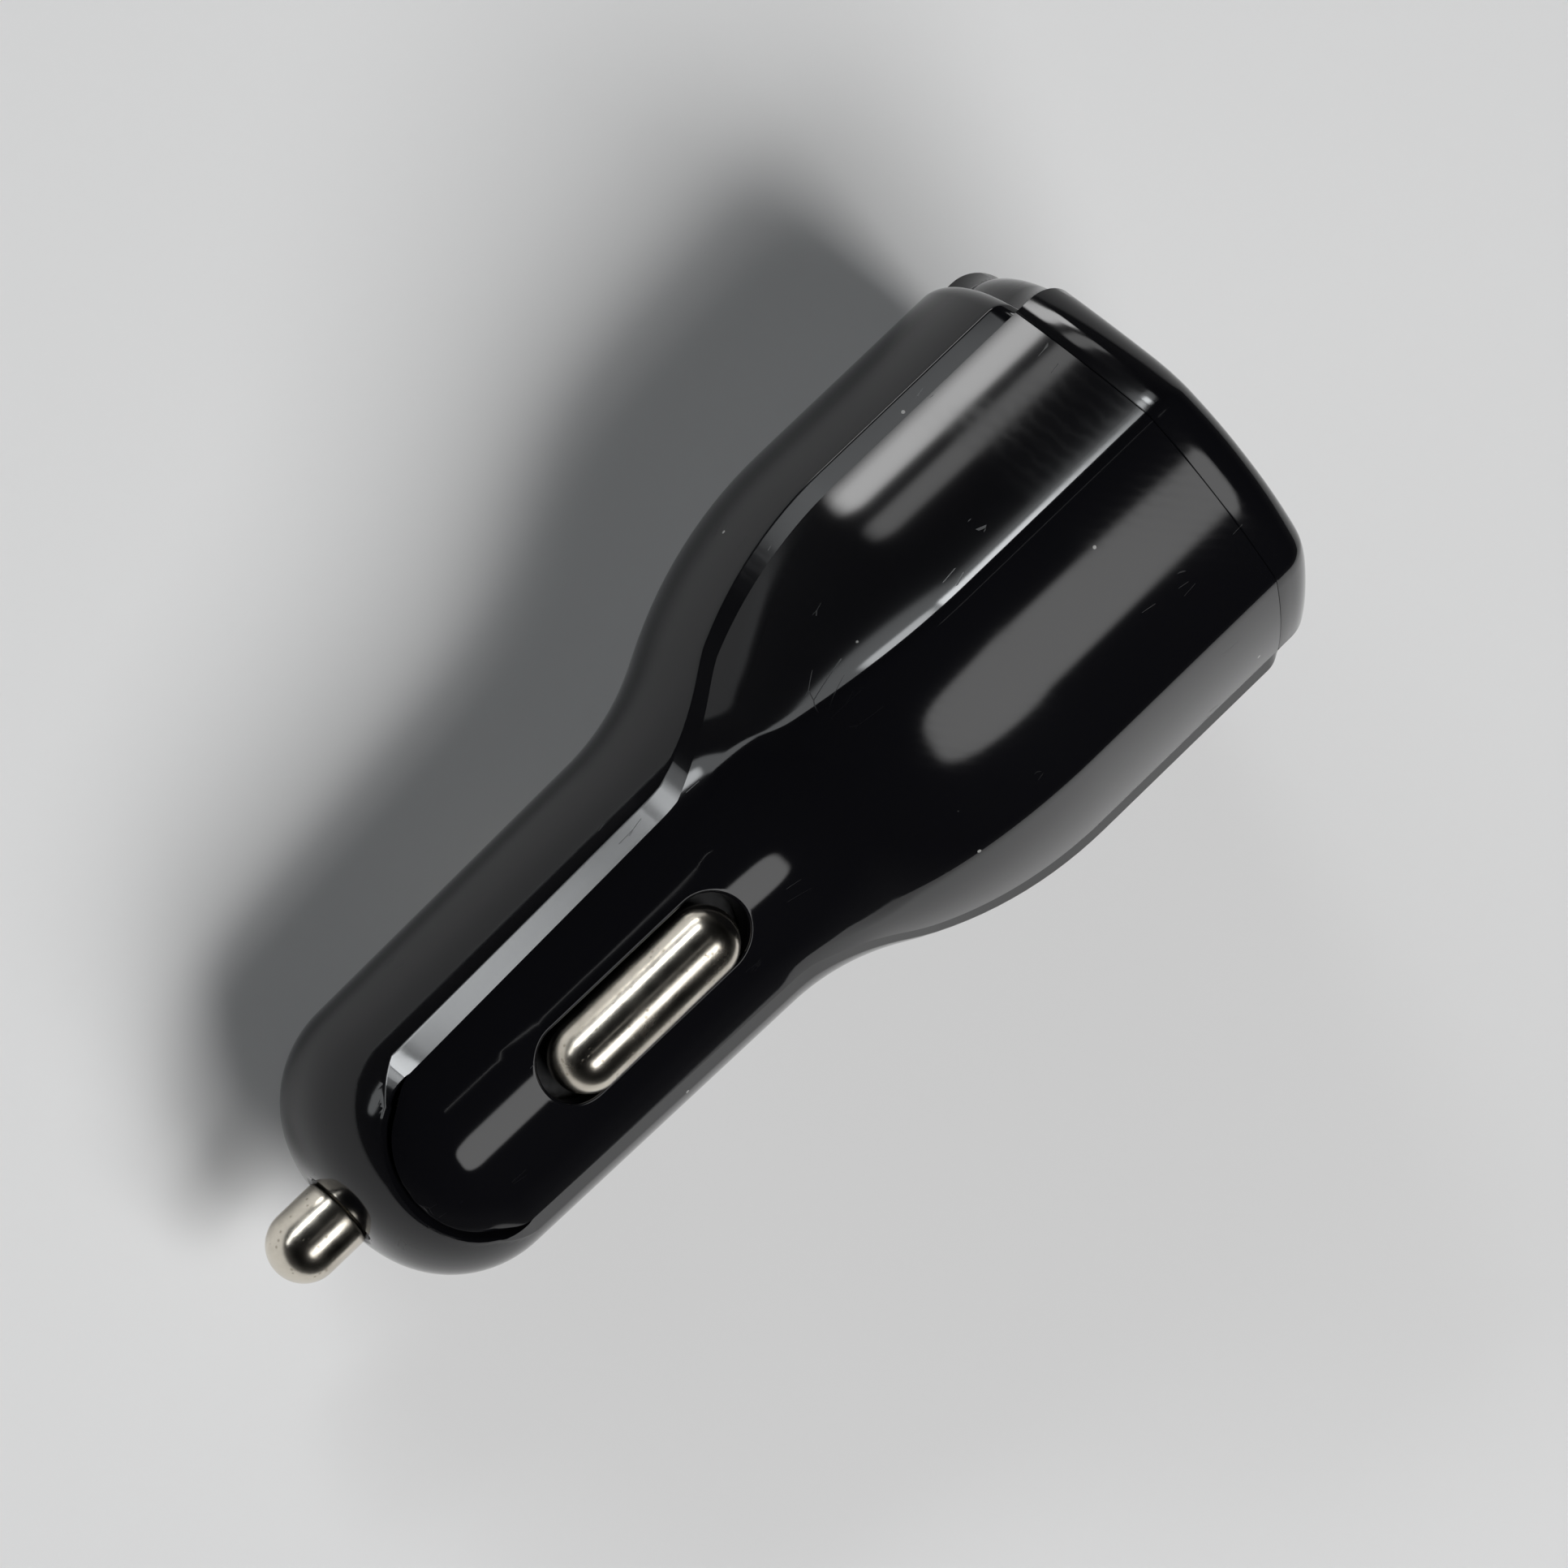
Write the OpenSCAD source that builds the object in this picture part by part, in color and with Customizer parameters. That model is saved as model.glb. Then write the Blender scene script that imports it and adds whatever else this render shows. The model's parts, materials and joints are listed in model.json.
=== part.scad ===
// USB charger plug for a car's 12 V socket, lying on its side.
// All pieces are drawn along one long axis: z = 0 is the port face and the
// centre pin ends at z = plug_len. x points out of the upper side shell and y
// runs across the centre frame. lay_down() then puts every piece as it rests.

/* [Whole plug] */
// Length from the port face to the end of the centre pin
plug_len = 78.3; // [74:0.1:84]
// Diameter of the head across the centre frame
head_d = 32.7; // [31:0.1:35]
// Where the straight part of the head ends
head_straight = 20; // [17:0.5:23]
// Radius of the outward curve behind the head
head_curve_r = 30; // [26:0.5:34]
// Radius of the inward curve at the neck
neck_curve_r = 17; // [15:0.5:20]
// Diameter of the barrel at the neck, for a 21 mm socket
barrel_d = 20.72; // [20.2:0.02:20.9]
// Diameter of the barrel where the nose starts
barrel_tip_d = 19.9; // [19.4:0.02:20.1]
// Radius of the curve round the nose
nose_r = 7.8; // [7:0.1:8.4]

/* [Centre frame] */
// Half of the width of the frame at its outer edge
band_half = 6; // [5:0.1:7]
// Half of the width of the frame on the barrel, at the shell
band_half_barrel = 6.9; // [6.5:0.1:7.4]
// Height of the frame above the shell on the barrel
band_step = 0.5; // [0.3:0.05:0.7]
// Where the frame ends, from the port face
band_end = 3.2; // [2.8:0.1:3.6]
// Thickness of the frame's nose round the centre pin
nose_wall = 2.8; // [2.4:0.1:3.2]

/* [Side shells] */
// How far the side face of the head lies under the frame's radius
side_drop = 0.25; // [0.1:0.05:0.6]
// How far the slanted faces of the head lie under the frame's radius
slant_drop = 1.05; // [0.8:0.05:1.3]
// Angle of the slanted faces from the side face
slant_angle = 58.6; // [56:0.2:61]
// Radius across each face of the head
face_crown_r = 34; // [28:1:44]
// Thickness of the shell on the barrel
shell_wall = 1.5; // [1.3:0.1:1.7]
// Thickness of the frame's wall in the head
head_wall = 2.85; // [2.6:0.05:3.1]

/* [Front bezel] */
// Depth of the bezel behind the port face
bezel_depth = 3.8; // [3.4:0.1:4.4]
// Thickness of the frame's ends over the bezel
frame_lip = 0.85; // [0.6:0.05:1.1]
// Radius of the bezel's front edge at its corners
bezel_edge = 3; // [2.6:0.1:3.2]
// Thickness of the bezel's skirt
skirt_wall = 1.2; // [1:0.1:1.4]

/* [USB sockets] */
// Outer width of a socket
usb_width = 13.1; // [13:0.05:13.3]
// Outer height of a socket
usb_height = 5.7; // [5.6:0.05:5.8]
// Thickness of a socket's sheet
usb_sheet = 0.3; // [0.25:0.05:0.35]
// Distance between the centres of the sockets
usb_pitch = 10.5; // [10:0.1:11.5]
// Depth of the sockets
usb_depth = 15.2; // [14.5:0.1:15.8]
// Thickness of the tongue in a socket
tongue_thick = 1.84; // [1.8:0.02:1.9]

/* [Centre pin] */
// Diameter of the centre pin
pin_d = 4.9; // [4.6:0.1:5.2]
// How far the centre pin stands out of the nose
pin_out = 5.5; // [5:0.1:6]
// How much less the pin's radius is where it goes into the nose
pin_neck = 0.2; // [0.1:0.05:0.4]
// Diameter of the collar that holds the pin in
collar_d = 6.8; // [6.4:0.1:7.2]
// Thickness of the collar
collar_thick = 1.2; // [1:0.1:1.4]
// How far the pin can be pressed in
pin_travel = 2.5; // [2:0.1:2.8]
// Wire of the spring behind the pin
spring_wire = 0.5; // [0.4:0.05:0.6]
// Turns of the spring
spring_turns = 6; // [5:1:8]

/* [Ground contacts] */
// Length of a ground contact
contact_len = 15.1; // [14:0.1:16]
// Width of a ground contact
contact_width = 4.9; // [4.6:0.1:5]
// Distance from the axis to the top of a ground contact
contact_top = 11.75; // [11.4:0.05:12]
// Distance from the end of the pin to the centre of the ground contacts
contact_back = 27; // [25:0.1:29]
// Length of the slot in the shell
slot_len = 17.1; // [16.9:0.1:17.4]
// Width of the slot in the shell
slot_width = 5.4; // [5.3:0.1:5.6]
// How far a ground contact can be pressed in
contact_travel = 1.2; // [1:0.1:1.3]

/* [Boards] */
// Thickness of both circuit boards
board_thick = 1.6; // [1.4:0.1:1.8]
// Half of the width of the main board in the barrel
board_half = 5; // [4.6:0.1:5.2]
// Half of the width of the main board in the head
board_half_head = 8; // [7.5:0.1:8.5]

/* [Parts on the main board] */
// Diameter of the input capacitor
cap_in_d = 8; // [7:0.1:8.4]
// Length of the input capacitor
cap_in_len = 11.5; // [10:0.5:12]
// Diameter of the output capacitor
cap_out_d = 6.3; // [5.5:0.1:7]
// Length of the output capacitor
cap_out_len = 9; // [8:0.5:11]
// Diameter of the inductor's core
core_d = 8; // [7:0.1:8.4]
// Height of the inductor
core_h = 4.8; // [4:0.1:5]
// Length of the fuse
fuse_len = 6; // [5:0.1:7]
// Width of the fuse
fuse_width = 2.7; // [2.2:0.1:3.2]
// Length of the rectifier diode
diode_len = 4.5; // [4:0.1:5]
// Width of the rectifier diode
diode_width = 2.6; // [2.2:0.1:3]
// Width of the converter chip
chip_width = 5; // [4:0.1:6]
// Length of the converter chip
chip_len = 4; // [3.5:0.1:5]
// Length and width of the charge chip
charge_len = 3; // [2.5:0.1:4]
// Gap between the parts along the board
part_gap = 0.6; // [0.4:0.1:1]

/* [Fits] */
// Gap all round a piece that slides
slide_gap = 0.06; // [0.04:0.01:0.1]
// Gap between pieces that are pushed together
push_gap = 0.1; // [0.06:0.01:0.15]

/* [Hidden] */
$fn = 64;

apex = plug_len - pin_out;
head_r = head_d / 2;
side_face = head_r - side_drop;
slant_face = head_r - slant_drop;
hollow_r = head_r - head_wall;
bezel_top = head_r - frame_lip;
contact_at = plug_len - contact_back;
barrel_r = barrel_d / 2;
tip_r = barrel_tip_d / 2;

// Angle and place of the point where the outward curve turns into the inward one
function turn(hr, hc, nc, br) = acos((br + nc - hr + hc) / (hc + nc));
function turn_z(hr, hc, nc, br) = head_straight + hc * sin(turn(hr, hc, nc, br));
function neck_z(hr, hc, nc, br) = head_straight + (hc + nc) * sin(turn(hr, hc, nc, br));
barrel_from = neck_z(head_r, head_curve_r, neck_curve_r, barrel_r);
nose_from = apex - nose_r;

// Radius of the frame's outside at any place along the axis
function frame_r(z) =
  z < head_straight ? head_r :
  z < turn_z(head_r, head_curve_r, neck_curve_r, barrel_r)
    ? head_r - head_curve_r + sqrt(pow(head_curve_r, 2) - pow(z - head_straight, 2)) :
  z < barrel_from
    ? barrel_r + neck_curve_r - sqrt(pow(neck_curve_r, 2) - pow(barrel_from - z, 2)) :
  z < nose_from
    ? barrel_r - (barrel_r - tip_r) * (z - barrel_from) / (nose_from - barrel_from) :
  tip_r - nose_r + sqrt(max(0, pow(nose_r, 2) - pow(z - nose_from, 2)));

// The shell is lower than the frame by this much
shell_r = barrel_r - band_step;
shell_tip_r = tip_r - band_step;
shell_nose_r = nose_r - band_step;
corner_r = side_face + 1;
corner_curve_r = head_curve_r - 8;

// Hollow inside the frame and the shells
inner_r = shell_r - shell_wall;
inner_nose_r = nose_r - 2;
hollow_curve_r = head_curve_r - 2;

// Where the frame meets the shells: narrow on the head, wide on the barrel
part_from = barrel_from - 10;
part_to = barrel_from - 5;

// Front pieces
skirt_r = hollow_r - push_gap;
usb_from = 0.3;
usb_to = usb_from + usb_depth;
usb_at = usb_pitch / 2;

// Centre pin and its spring
collar_top = apex - nose_wall;
collar_from = collar_top - collar_thick;
tail_from = collar_from - 3.2;
seat_top = tail_from - pin_travel - 1.2;
seat_from = seat_top - 1.2;
spring_r = collar_d / 2 - spring_wire / 2 - 0.4;
coil_len = collar_from - seat_top - spring_wire;

// Ground contacts and their springs
flange_thick = 0.5;
flange_half = slot_width / 2 + 0.6;
flange_top = sqrt(pow(inner_r, 2) - pow(flange_half, 2)) - slide_gap - 0.25;
flange_under = flange_top - flange_thick;
leaf_gap = 0.02;
leaf_rise = flange_under - leaf_gap - board_half;
leaf_half = 8;
leaf_r = (pow(leaf_half, 2) + pow(leaf_rise, 2)) / (2 * leaf_rise);
leaf_thick = 0.25;

// Boards
board_from = usb_to + board_thick;
board_to = seat_from;
board_top = board_thick / 2;
narrow_to = min(part_to, contact_at - leaf_half - 1);

// How the plug lies: on the lower side of the head and on the lower contact
contact_nose = contact_width / 2;
rest_a = [side_face,
  head_straight + sqrt(pow(corner_curve_r, 2) - pow(corner_curve_r - corner_r + side_face, 2))];
rest_b = [contact_top - contact_nose, contact_at + contact_len / 2 - contact_nose];
rest_gap = norm(rest_a - rest_b);
rest_turn = asin(contact_nose / rest_gap);
lie = -rest_turn - atan2(rest_b[0] - rest_a[0], rest_b[1] - rest_a[1]);
lift = rest_b[0] * cos(lie) + rest_b[1] * sin(lie) + contact_nose;
reach_front = (corner_r - 0.1 - bezel_edge) * cos(asin(7 / corner_r)) * sin(lie);
reach_back = (plug_len - pin_d / 2) * cos(lie) + pin_d / 2;
shift = (reach_back - reach_front) / 2;

module lay_down() {
  translate([shift, 0, lift])
  rotate([0, -90 - lie, 0])
  children();
}

// Points along an arc from angle a to angle b, without the first one
function arc(x, z, r, a, b, n) =
  [for (i = [1:n]) [x + r * cos(a + (b - a) * i / n), z + r * sin(a + (b - a) * i / n)]];

// Half outline of the plug from the front to the nose
module outline(hr, hc, nc, br, tr, nr, top, front) {
  bend = turn(hr, hc, nc, br);
  polygon(concat(
    [[0, front], [hr, front], [hr, head_straight]],
    arc(hr - hc, head_straight, hc, 0, bend, 6),
    arc(br + nc, neck_z(hr, hc, nc, br), nc, 180 + bend, 180, 6),
    [[tr, top - nr]],
    arc(tr - nr, top - nr, nr, 0, 90, 9),
    [[0, top]]
  ));
}

// Solid inside the frame's outer surface
module frame_body() {
  rotate_extrude()
  outline(head_r, head_curve_r, neck_curve_r, barrel_r, tip_r, nose_r, apex, band_end);
}

// The hollow that runs through the plug
module hollow() {
  rotate_extrude()
  outline(hollow_r, hollow_curve_r, neck_curve_r + 2, inner_r, inner_r - 0.4,
    inner_nose_r, apex - 2, -1);
}

// Disc whose edge is one crowned face of the head
module face_disc(angle, reach) {
  rotate(angle)
  translate([reach - face_crown_r, 0])
  circle(face_crown_r);
}

// Section of the head: two side faces and four slanted ones
module head_section() {
  intersection() {
    face_disc(0, side_face);
    face_disc(180, side_face);
    face_disc(slant_angle, slant_face);
    face_disc(-slant_angle, slant_face);
    face_disc(180 - slant_angle, slant_face);
    face_disc(180 + slant_angle, slant_face);
  }
}

// Wedge of space that holds the frame: between the two parting faces
module between_shells(grow) {
  w1 = band_half + grow;
  w2 = band_half_barrel + grow;
  rotate([90, 0, 0])
  linear_extrude(50, center = true)
  polygon([
    [-w1, -5], [w1, -5], [w1, part_from], [w2, part_to], [w2, plug_len + 5],
    [-w2, plug_len + 5], [-w2, part_to], [-w1, part_from]
  ]);
}

// Slanted cut along one edge of the frame
chamfer_dir = 30;
chamfer_z = concat(
  [for (i = [5:12]) head_straight + (barrel_from - head_straight) * i / 12],
  [(barrel_from + nose_from) / 2, nose_from],
  [for (t = [8:8:48]) nose_from + nose_r * sin(t)]
);
chamfer_from = chamfer_z[0];
chamfer_to = chamfer_z[15];
function edge_y(z) = sqrt(max(0, pow(frame_r(z), 2) - pow(band_half, 2)));
function chamfer_at(z) = band_half * cos(chamfer_dir) + edge_y(z) * sin(chamfer_dir);

module chamfer_cut(flip_x, flip_y) {
  mirror([flip_x, 0, 0])
  mirror([0, flip_y, 0])
  rotate([0, 0, chamfer_dir])
  rotate([90, 0, 0])
  linear_extrude(40, center = true)
  polygon(concat(
    [for (z = chamfer_z) [chamfer_at(z), z]],
    [[chamfer_at(chamfer_to), plug_len], [2 * head_r, plug_len], [2 * head_r, chamfer_from - 4]],
    [[chamfer_at(head_straight) + 3, chamfer_from - 4]]
  ));
}

module centre_frame() {
  color([0.03, 0.03, 0.035])
  lay_down()
  difference() {
    union() {
      difference() {
        intersection() {
          frame_body();
          between_shells(0);
        }
        hollow();
      }
      // Boss inside the nose that stops the collar of the pin
      translate([0, 0, collar_top])
      cylinder(h = nose_wall - 1, r = collar_d / 2 + 0.8);
      // Ribs that hold the port board against the bezel
      for (s = [-1, 1])
        translate([0, s * (hollow_r - 0.6), board_from + 1])
        cube([6, 2.4, 2], center = true);
    }
    translate([0, 0, collar_top - 1])
    cylinder(h = nose_wall + 2, r = pin_d / 2 + slide_gap);
    // Room for the bezel under the two ends of the frame
    translate([0, 0, -1])
    cylinder(h = bezel_depth + 1, r = bezel_top);
    for (fx = [0, 1], fy = [0, 1])
      chamfer_cut(fx, fy);
  }
}

module stadium(len, width) {
  translate([0, -(len - width) / 2])
  circle(width / 2);
  translate([0, (len - width) / 2])
  circle(width / 2);
  square([width, len - width], center = true);
}

// Upright prism with a stadium outline, from x = a to x = b over the contact's place
module stadium_prism(len, width, a, b) {
  translate([a, 0, contact_at])
  rotate([90, 0, 90])
  linear_extrude(b - a)
  stadium(len, width);
}

module side_shell(side) {
  lay_down()
  rotate([0, 0, side > 0 ? 0 : 180]) {
    difference() {
      intersection() {
        rotate_extrude()
        outline(corner_r, corner_curve_r, neck_curve_r, shell_r, shell_tip_r,
          shell_nose_r, apex - band_step, bezel_depth);
        linear_extrude(plug_len)
        head_section();
      }
      between_shells(0);
      hollow();
      translate([-50, -50, -5])
      cube([50, 100, 120]);
      stadium_prism(slot_len, slot_width, 0, 20);
    }
    // Rib that grips the edge of the main board
    translate([board_half_head, -2, board_from + 8])
    cube([hollow_r - board_half_head + 0.4, 4, 2]);
  }
}

module side_shell_upper() {
  color([0.03, 0.03, 0.035])
  side_shell(1);
}

module side_shell_lower() {
  color([0.03, 0.03, 0.035])
  side_shell(-1);
}

// Half outline of the bezel with its rounded front edge
module bezel_outline(reach) {
  translate([0, bezel_edge])
  square([reach, bezel_depth - bezel_edge]);
  square([reach - bezel_edge, bezel_edge]);
  intersection() {
    translate([reach - bezel_edge, bezel_edge])
    circle(bezel_edge);
    square([reach + 1, bezel_edge]);
  }
}

module front_bezel() {
  color([0.03, 0.03, 0.035])
  lay_down()
  difference() {
    union() {
      intersection() {
        rotate_extrude()
        bezel_outline(corner_r - 0.1);
        linear_extrude(bezel_depth + 1)
        union() {
          difference() {
            head_section();
            square([2 * band_half, 4 * head_r], center = true);
          }
          intersection() {
            circle(bezel_top);
            square([2 * band_half, 4 * head_r], center = true);
          }
        }
      }
      // Skirt that goes into the shells and carries the port board
      translate([0, 0, bezel_depth - 1])
      cylinder(h = usb_to - bezel_depth + 1, r = skirt_r);
    }
    translate([0, 0, 2])
    cylinder(h = usb_to, r = skirt_r - skirt_wall);
    for (s = [-1, 1])
      translate([0, s * usb_at, 0])
      cube([usb_width + 2 * push_gap, usb_height + 2 * push_gap, 2 * usb_to + 2], center = true);
  }
}

module usb_shell(side) {
  color([0.75, 0.74, 0.7])
  lay_down()
  translate([0, side * usb_at, usb_from])
  difference() {
    translate([-usb_width / 2, -usb_height / 2, 0])
    cube([usb_width, usb_height, usb_depth]);
    translate([-usb_width / 2 + usb_sheet, -usb_height / 2 + usb_sheet, -1])
    cube([usb_width - 2 * usb_sheet, usb_height - 2 * usb_sheet, usb_depth + 2]);
  }
}

module usb_shell_1() {
  usb_shell(1);
}

module usb_shell_2() {
  usb_shell(-1);
}

tongue_half = usb_width / 2 - usb_sheet - 0.7;
tongue_y = 0.45;
block_from = 10;

module usb_tongue(side) {
  color([0.05, 0.05, 0.06])
  lay_down()
  translate([0, side * usb_at, usb_from]) {
    translate([-usb_width / 2 + usb_sheet, -usb_height / 2 + usb_sheet, block_from])
    cube([usb_width - 2 * usb_sheet, usb_height - 2 * usb_sheet, usb_depth - block_from]);
    translate([-tongue_half, tongue_y, 1])
    cube([2 * tongue_half, tongue_thick, block_from - 0.5]);
  }
}

module usb_tongue_1() {
  usb_tongue(1);
}

module usb_tongue_2() {
  usb_tongue(-1);
}

module usb_contacts(side) {
  color([0.85, 0.68, 0.3])
  lay_down()
  for (x = [-3.5, -1, 1, 3.5])
    translate([x - 0.5, side * usb_at + tongue_y - 0.15, usb_from + 1.6])
    cube([1, 0.15, block_from - 1.6]);
}

module usb_contacts_1() {
  usb_contacts(1);
}

module usb_contacts_2() {
  usb_contacts(-1);
}

module port_board() {
  color([0.05, 0.25, 0.14])
  lay_down()
  translate([0, 0, usb_to])
  cylinder(h = board_thick, r = hollow_r - push_gap);
}

module main_board() {
  color([0.05, 0.25, 0.14])
  lay_down()
  rotate([90, 0, 0])
  linear_extrude(board_thick, center = true)
  polygon([
    [-board_half_head, board_from], [board_half_head, board_from],
    [board_half_head, narrow_to - 9], [board_half, narrow_to],
    [board_half, board_to], [-board_half, board_to],
    [-board_half, narrow_to], [-board_half_head, narrow_to - 9]
  ]);
}

// Can lying along the board, with its rubber end toward the ports
module can(d, len, side, from) {
  translate([0, side * (board_top + d / 2), from])
  cylinder(h = len, r = d / 2);
}

module input_capacitor() {
  color([0.12, 0.13, 0.2])
  lay_down()
  can(cap_in_d, cap_in_len, 1, board_from + part_gap);
}

module output_capacitor() {
  color([0.12, 0.13, 0.2])
  lay_down()
  can(cap_out_d, cap_out_len, -1, board_from + part_gap);
}

flange_h = 0.8;
wire_gap = 0.4;
drum_r = core_d / 2 - 1.6;
core_at = board_from + cap_in_len + part_gap + core_d / 2 + part_gap;
diode_at = core_at + core_d / 2 + part_gap + diode_len / 2;
charge_at = board_from + cap_out_len + part_gap + charge_len / 2 + part_gap;
chip_at = charge_at + charge_len / 2 + part_gap + chip_len / 2;
fuse_at = chip_at + chip_len / 2 + part_gap + fuse_len / 2;

// Drum on its end, standing on the board
module inductor_core() {
  color([0.16, 0.15, 0.15])
  lay_down()
  translate([0, board_top, core_at])
  rotate([-90, 0, 0]) {
    cylinder(h = flange_h, r = core_d / 2);
    cylinder(h = core_h, r = drum_r);
    translate([0, 0, core_h - flange_h])
    cylinder(h = flange_h, r = core_d / 2);
  }
}

module inductor_winding() {
  color([0.6, 0.3, 0.12])
  lay_down()
  translate([0, board_top + flange_h, core_at])
  rotate([-90, 0, 0])
  difference() {
    cylinder(h = core_h - 2 * flange_h, r = core_d / 2 - wire_gap);
    translate([0, 0, -1])
    cylinder(h = core_h + 2, r = drum_r);
  }
}

// Small block on one side of the main board
module block(size_x, size_y, size_z, side, at) {
  translate([0, side * (board_top + size_y / 2), at])
  cube([size_x, size_y, size_z], center = true);
}

module converter_chip() {
  color([0.06, 0.06, 0.07])
  lay_down()
  block(chip_width, 1.5, chip_len, -1, chip_at);
}

module charge_chip() {
  color([0.06, 0.06, 0.07])
  lay_down()
  block(charge_len, 1.2, charge_len, -1, charge_at);
}

module rectifier_diode() {
  color([0.06, 0.06, 0.07])
  lay_down()
  block(diode_width, 2.2, diode_len, 1, diode_at);
}

module fuse() {
  color([0.85, 0.83, 0.76])
  lay_down()
  block(fuse_width, 2.5, fuse_len, -1, fuse_at);
}

module spring_seat() {
  color([0.75, 0.65, 0.4])
  lay_down() {
    translate([0, 0, seat_from])
    cylinder(h = 1.2, r = collar_d / 2);
    translate([0, 0, seat_from])
    cylinder(h = 2.2, r = spring_r - spring_wire / 2 - 0.3);
  }
}

coil_steps = 14;
coil_sides = 6;
coil_n = coil_steps * spring_turns;

// Six-sided wire wound round the tail of the pin
module pin_spring() {
  color([0.7, 0.7, 0.68])
  lay_down()
  polyhedron(
    points = [
      for (i = [0:coil_n]) for (k = [0:coil_sides - 1])
        let (t = 360 * i / coil_steps, b = 360 * k / coil_sides)
        let (r = spring_r + spring_wire / 2 * cos(b))
        [r * cos(t), r * sin(t),
          seat_top + spring_wire / 2 + coil_len * i / coil_n + spring_wire / 2 * sin(b)]
    ],
    faces = concat(
      [for (i = [0:coil_n - 1]) for (k = [0:coil_sides - 1])
        let (a = i * coil_sides + k, b = i * coil_sides + (k + 1) % coil_sides)
        [a, a + coil_sides, b]],
      [for (i = [0:coil_n - 1]) for (k = [0:coil_sides - 1])
        let (a = i * coil_sides + k, b = i * coil_sides + (k + 1) % coil_sides)
        [b, a + coil_sides, b + coil_sides]],
      [[for (k = [0:coil_sides - 1]) k]],
      [[for (k = [coil_sides - 1:-1:0]) coil_n * coil_sides + k]]
    )
  );
}

module centre_pin() {
  color([0.75, 0.72, 0.66])
  lay_down()
  rotate_extrude() {
    polygon([
      [0, tail_from], [pin_d / 2 - 1.2, tail_from], [pin_d / 2 - 1.2, collar_from],
      [collar_d / 2, collar_from], [collar_d / 2, collar_top],
      [pin_d / 2 - pin_neck, collar_top], [pin_d / 2 - pin_neck, apex + 0.1],
      [pin_d / 2, apex + 0.1], [pin_d / 2, plug_len - pin_d / 2], [0, plug_len - pin_d / 2]
    ]);
    intersection() {
      translate([0, plug_len - pin_d / 2])
      circle(pin_d / 2);
      translate([0, plug_len - pin_d / 2])
      square(pin_d);
    }
  }
}

// Rounded bar that shows in the slot, on a flange that holds it in the shell
module ground_contact(turned) {
  color([0.75, 0.72, 0.66])
  lay_down()
  rotate([0, 0, turned])
  union() {
    translate([contact_top - contact_nose, 0, contact_at - contact_len / 2])
    rotate_extrude() {
      translate([0, contact_nose])
      square([contact_nose, contact_len - 2 * contact_nose]);
      for (z = [contact_nose, contact_len - contact_nose])
        intersection() {
          translate([0, z])
          circle(contact_nose);
          square([contact_nose, contact_len]);
        }
    }
    stadium_prism(contact_len - 0.3, contact_width - 0.3, flange_top - 0.2,
      contact_top - contact_nose);
    stadium_prism(slot_len + 1.6, 2 * flange_half, flange_under, flange_top);
  }
}

module ground_contact_upper() {
  ground_contact(0);
}

module ground_contact_lower() {
  ground_contact(180);
}

// Bowed strip between the edge of the main board and the contact
module ground_spring(turned) {
  color([0.72, 0.55, 0.35])
  lay_down()
  rotate([0, 0, turned])
  translate([0, 0, contact_at])
  rotate([90, 0, 0])
  linear_extrude(3, center = true)
  intersection() {
    difference() {
      translate([board_half + leaf_rise - leaf_r, 0])
      circle(leaf_r);
      translate([board_half + leaf_rise - leaf_r, 0])
      circle(leaf_r - leaf_thick);
    }
    translate([board_half, -leaf_half - 1])
    square([leaf_rise + 1, 2 * leaf_half + 2]);
  }
}

module ground_spring_upper() {
  ground_spring(0);
}

module ground_spring_lower() {
  ground_spring(180);
}

centre_frame();
side_shell_upper();
side_shell_lower();
front_bezel();
usb_shell_1();
usb_shell_2();
usb_tongue_1();
usb_tongue_2();
usb_contacts_1();
usb_contacts_2();
port_board();
main_board();
input_capacitor();
output_capacitor();
inductor_core();
inductor_winding();
converter_chip();
charge_chip();
rectifier_diode();
fuse();
spring_seat();
pin_spring();
centre_pin();
ground_contact_upper();
ground_contact_lower();
ground_spring_upper();
ground_spring_lower();
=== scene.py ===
import json
from math import acos, atan2, cos, pi, radians, sin, sqrt

import bmesh
import bpy
from mathutils import Matrix, Vector


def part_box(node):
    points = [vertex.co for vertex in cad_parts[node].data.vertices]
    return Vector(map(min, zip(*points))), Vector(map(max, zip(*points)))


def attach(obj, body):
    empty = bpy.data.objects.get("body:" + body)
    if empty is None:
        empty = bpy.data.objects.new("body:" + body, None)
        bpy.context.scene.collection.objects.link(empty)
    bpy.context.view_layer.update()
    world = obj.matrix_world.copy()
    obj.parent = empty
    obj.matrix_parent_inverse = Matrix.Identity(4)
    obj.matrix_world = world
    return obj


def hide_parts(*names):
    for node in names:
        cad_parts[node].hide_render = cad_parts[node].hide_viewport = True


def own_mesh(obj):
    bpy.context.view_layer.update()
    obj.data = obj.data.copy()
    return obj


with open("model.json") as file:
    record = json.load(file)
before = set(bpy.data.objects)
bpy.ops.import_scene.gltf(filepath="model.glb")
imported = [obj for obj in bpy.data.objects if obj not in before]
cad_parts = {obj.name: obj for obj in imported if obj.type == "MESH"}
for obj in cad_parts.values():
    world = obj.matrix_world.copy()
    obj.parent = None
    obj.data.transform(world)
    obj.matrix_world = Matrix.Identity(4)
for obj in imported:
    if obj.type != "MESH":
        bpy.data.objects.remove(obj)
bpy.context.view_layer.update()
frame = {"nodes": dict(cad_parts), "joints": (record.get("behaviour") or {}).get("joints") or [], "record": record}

# The plug as it lies. All pieces are drawn upright in millimetres: z runs from
# the port face to the pin, x out of the upper shell, y across the frame. The
# frame's own joints and port face say where that upright plug lies.
MM = 0.001
mounts = {m["name"]: m for m in frame["record"]["mounts"]}
slides = {j["name"]: j for j in frame["joints"]}
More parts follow.
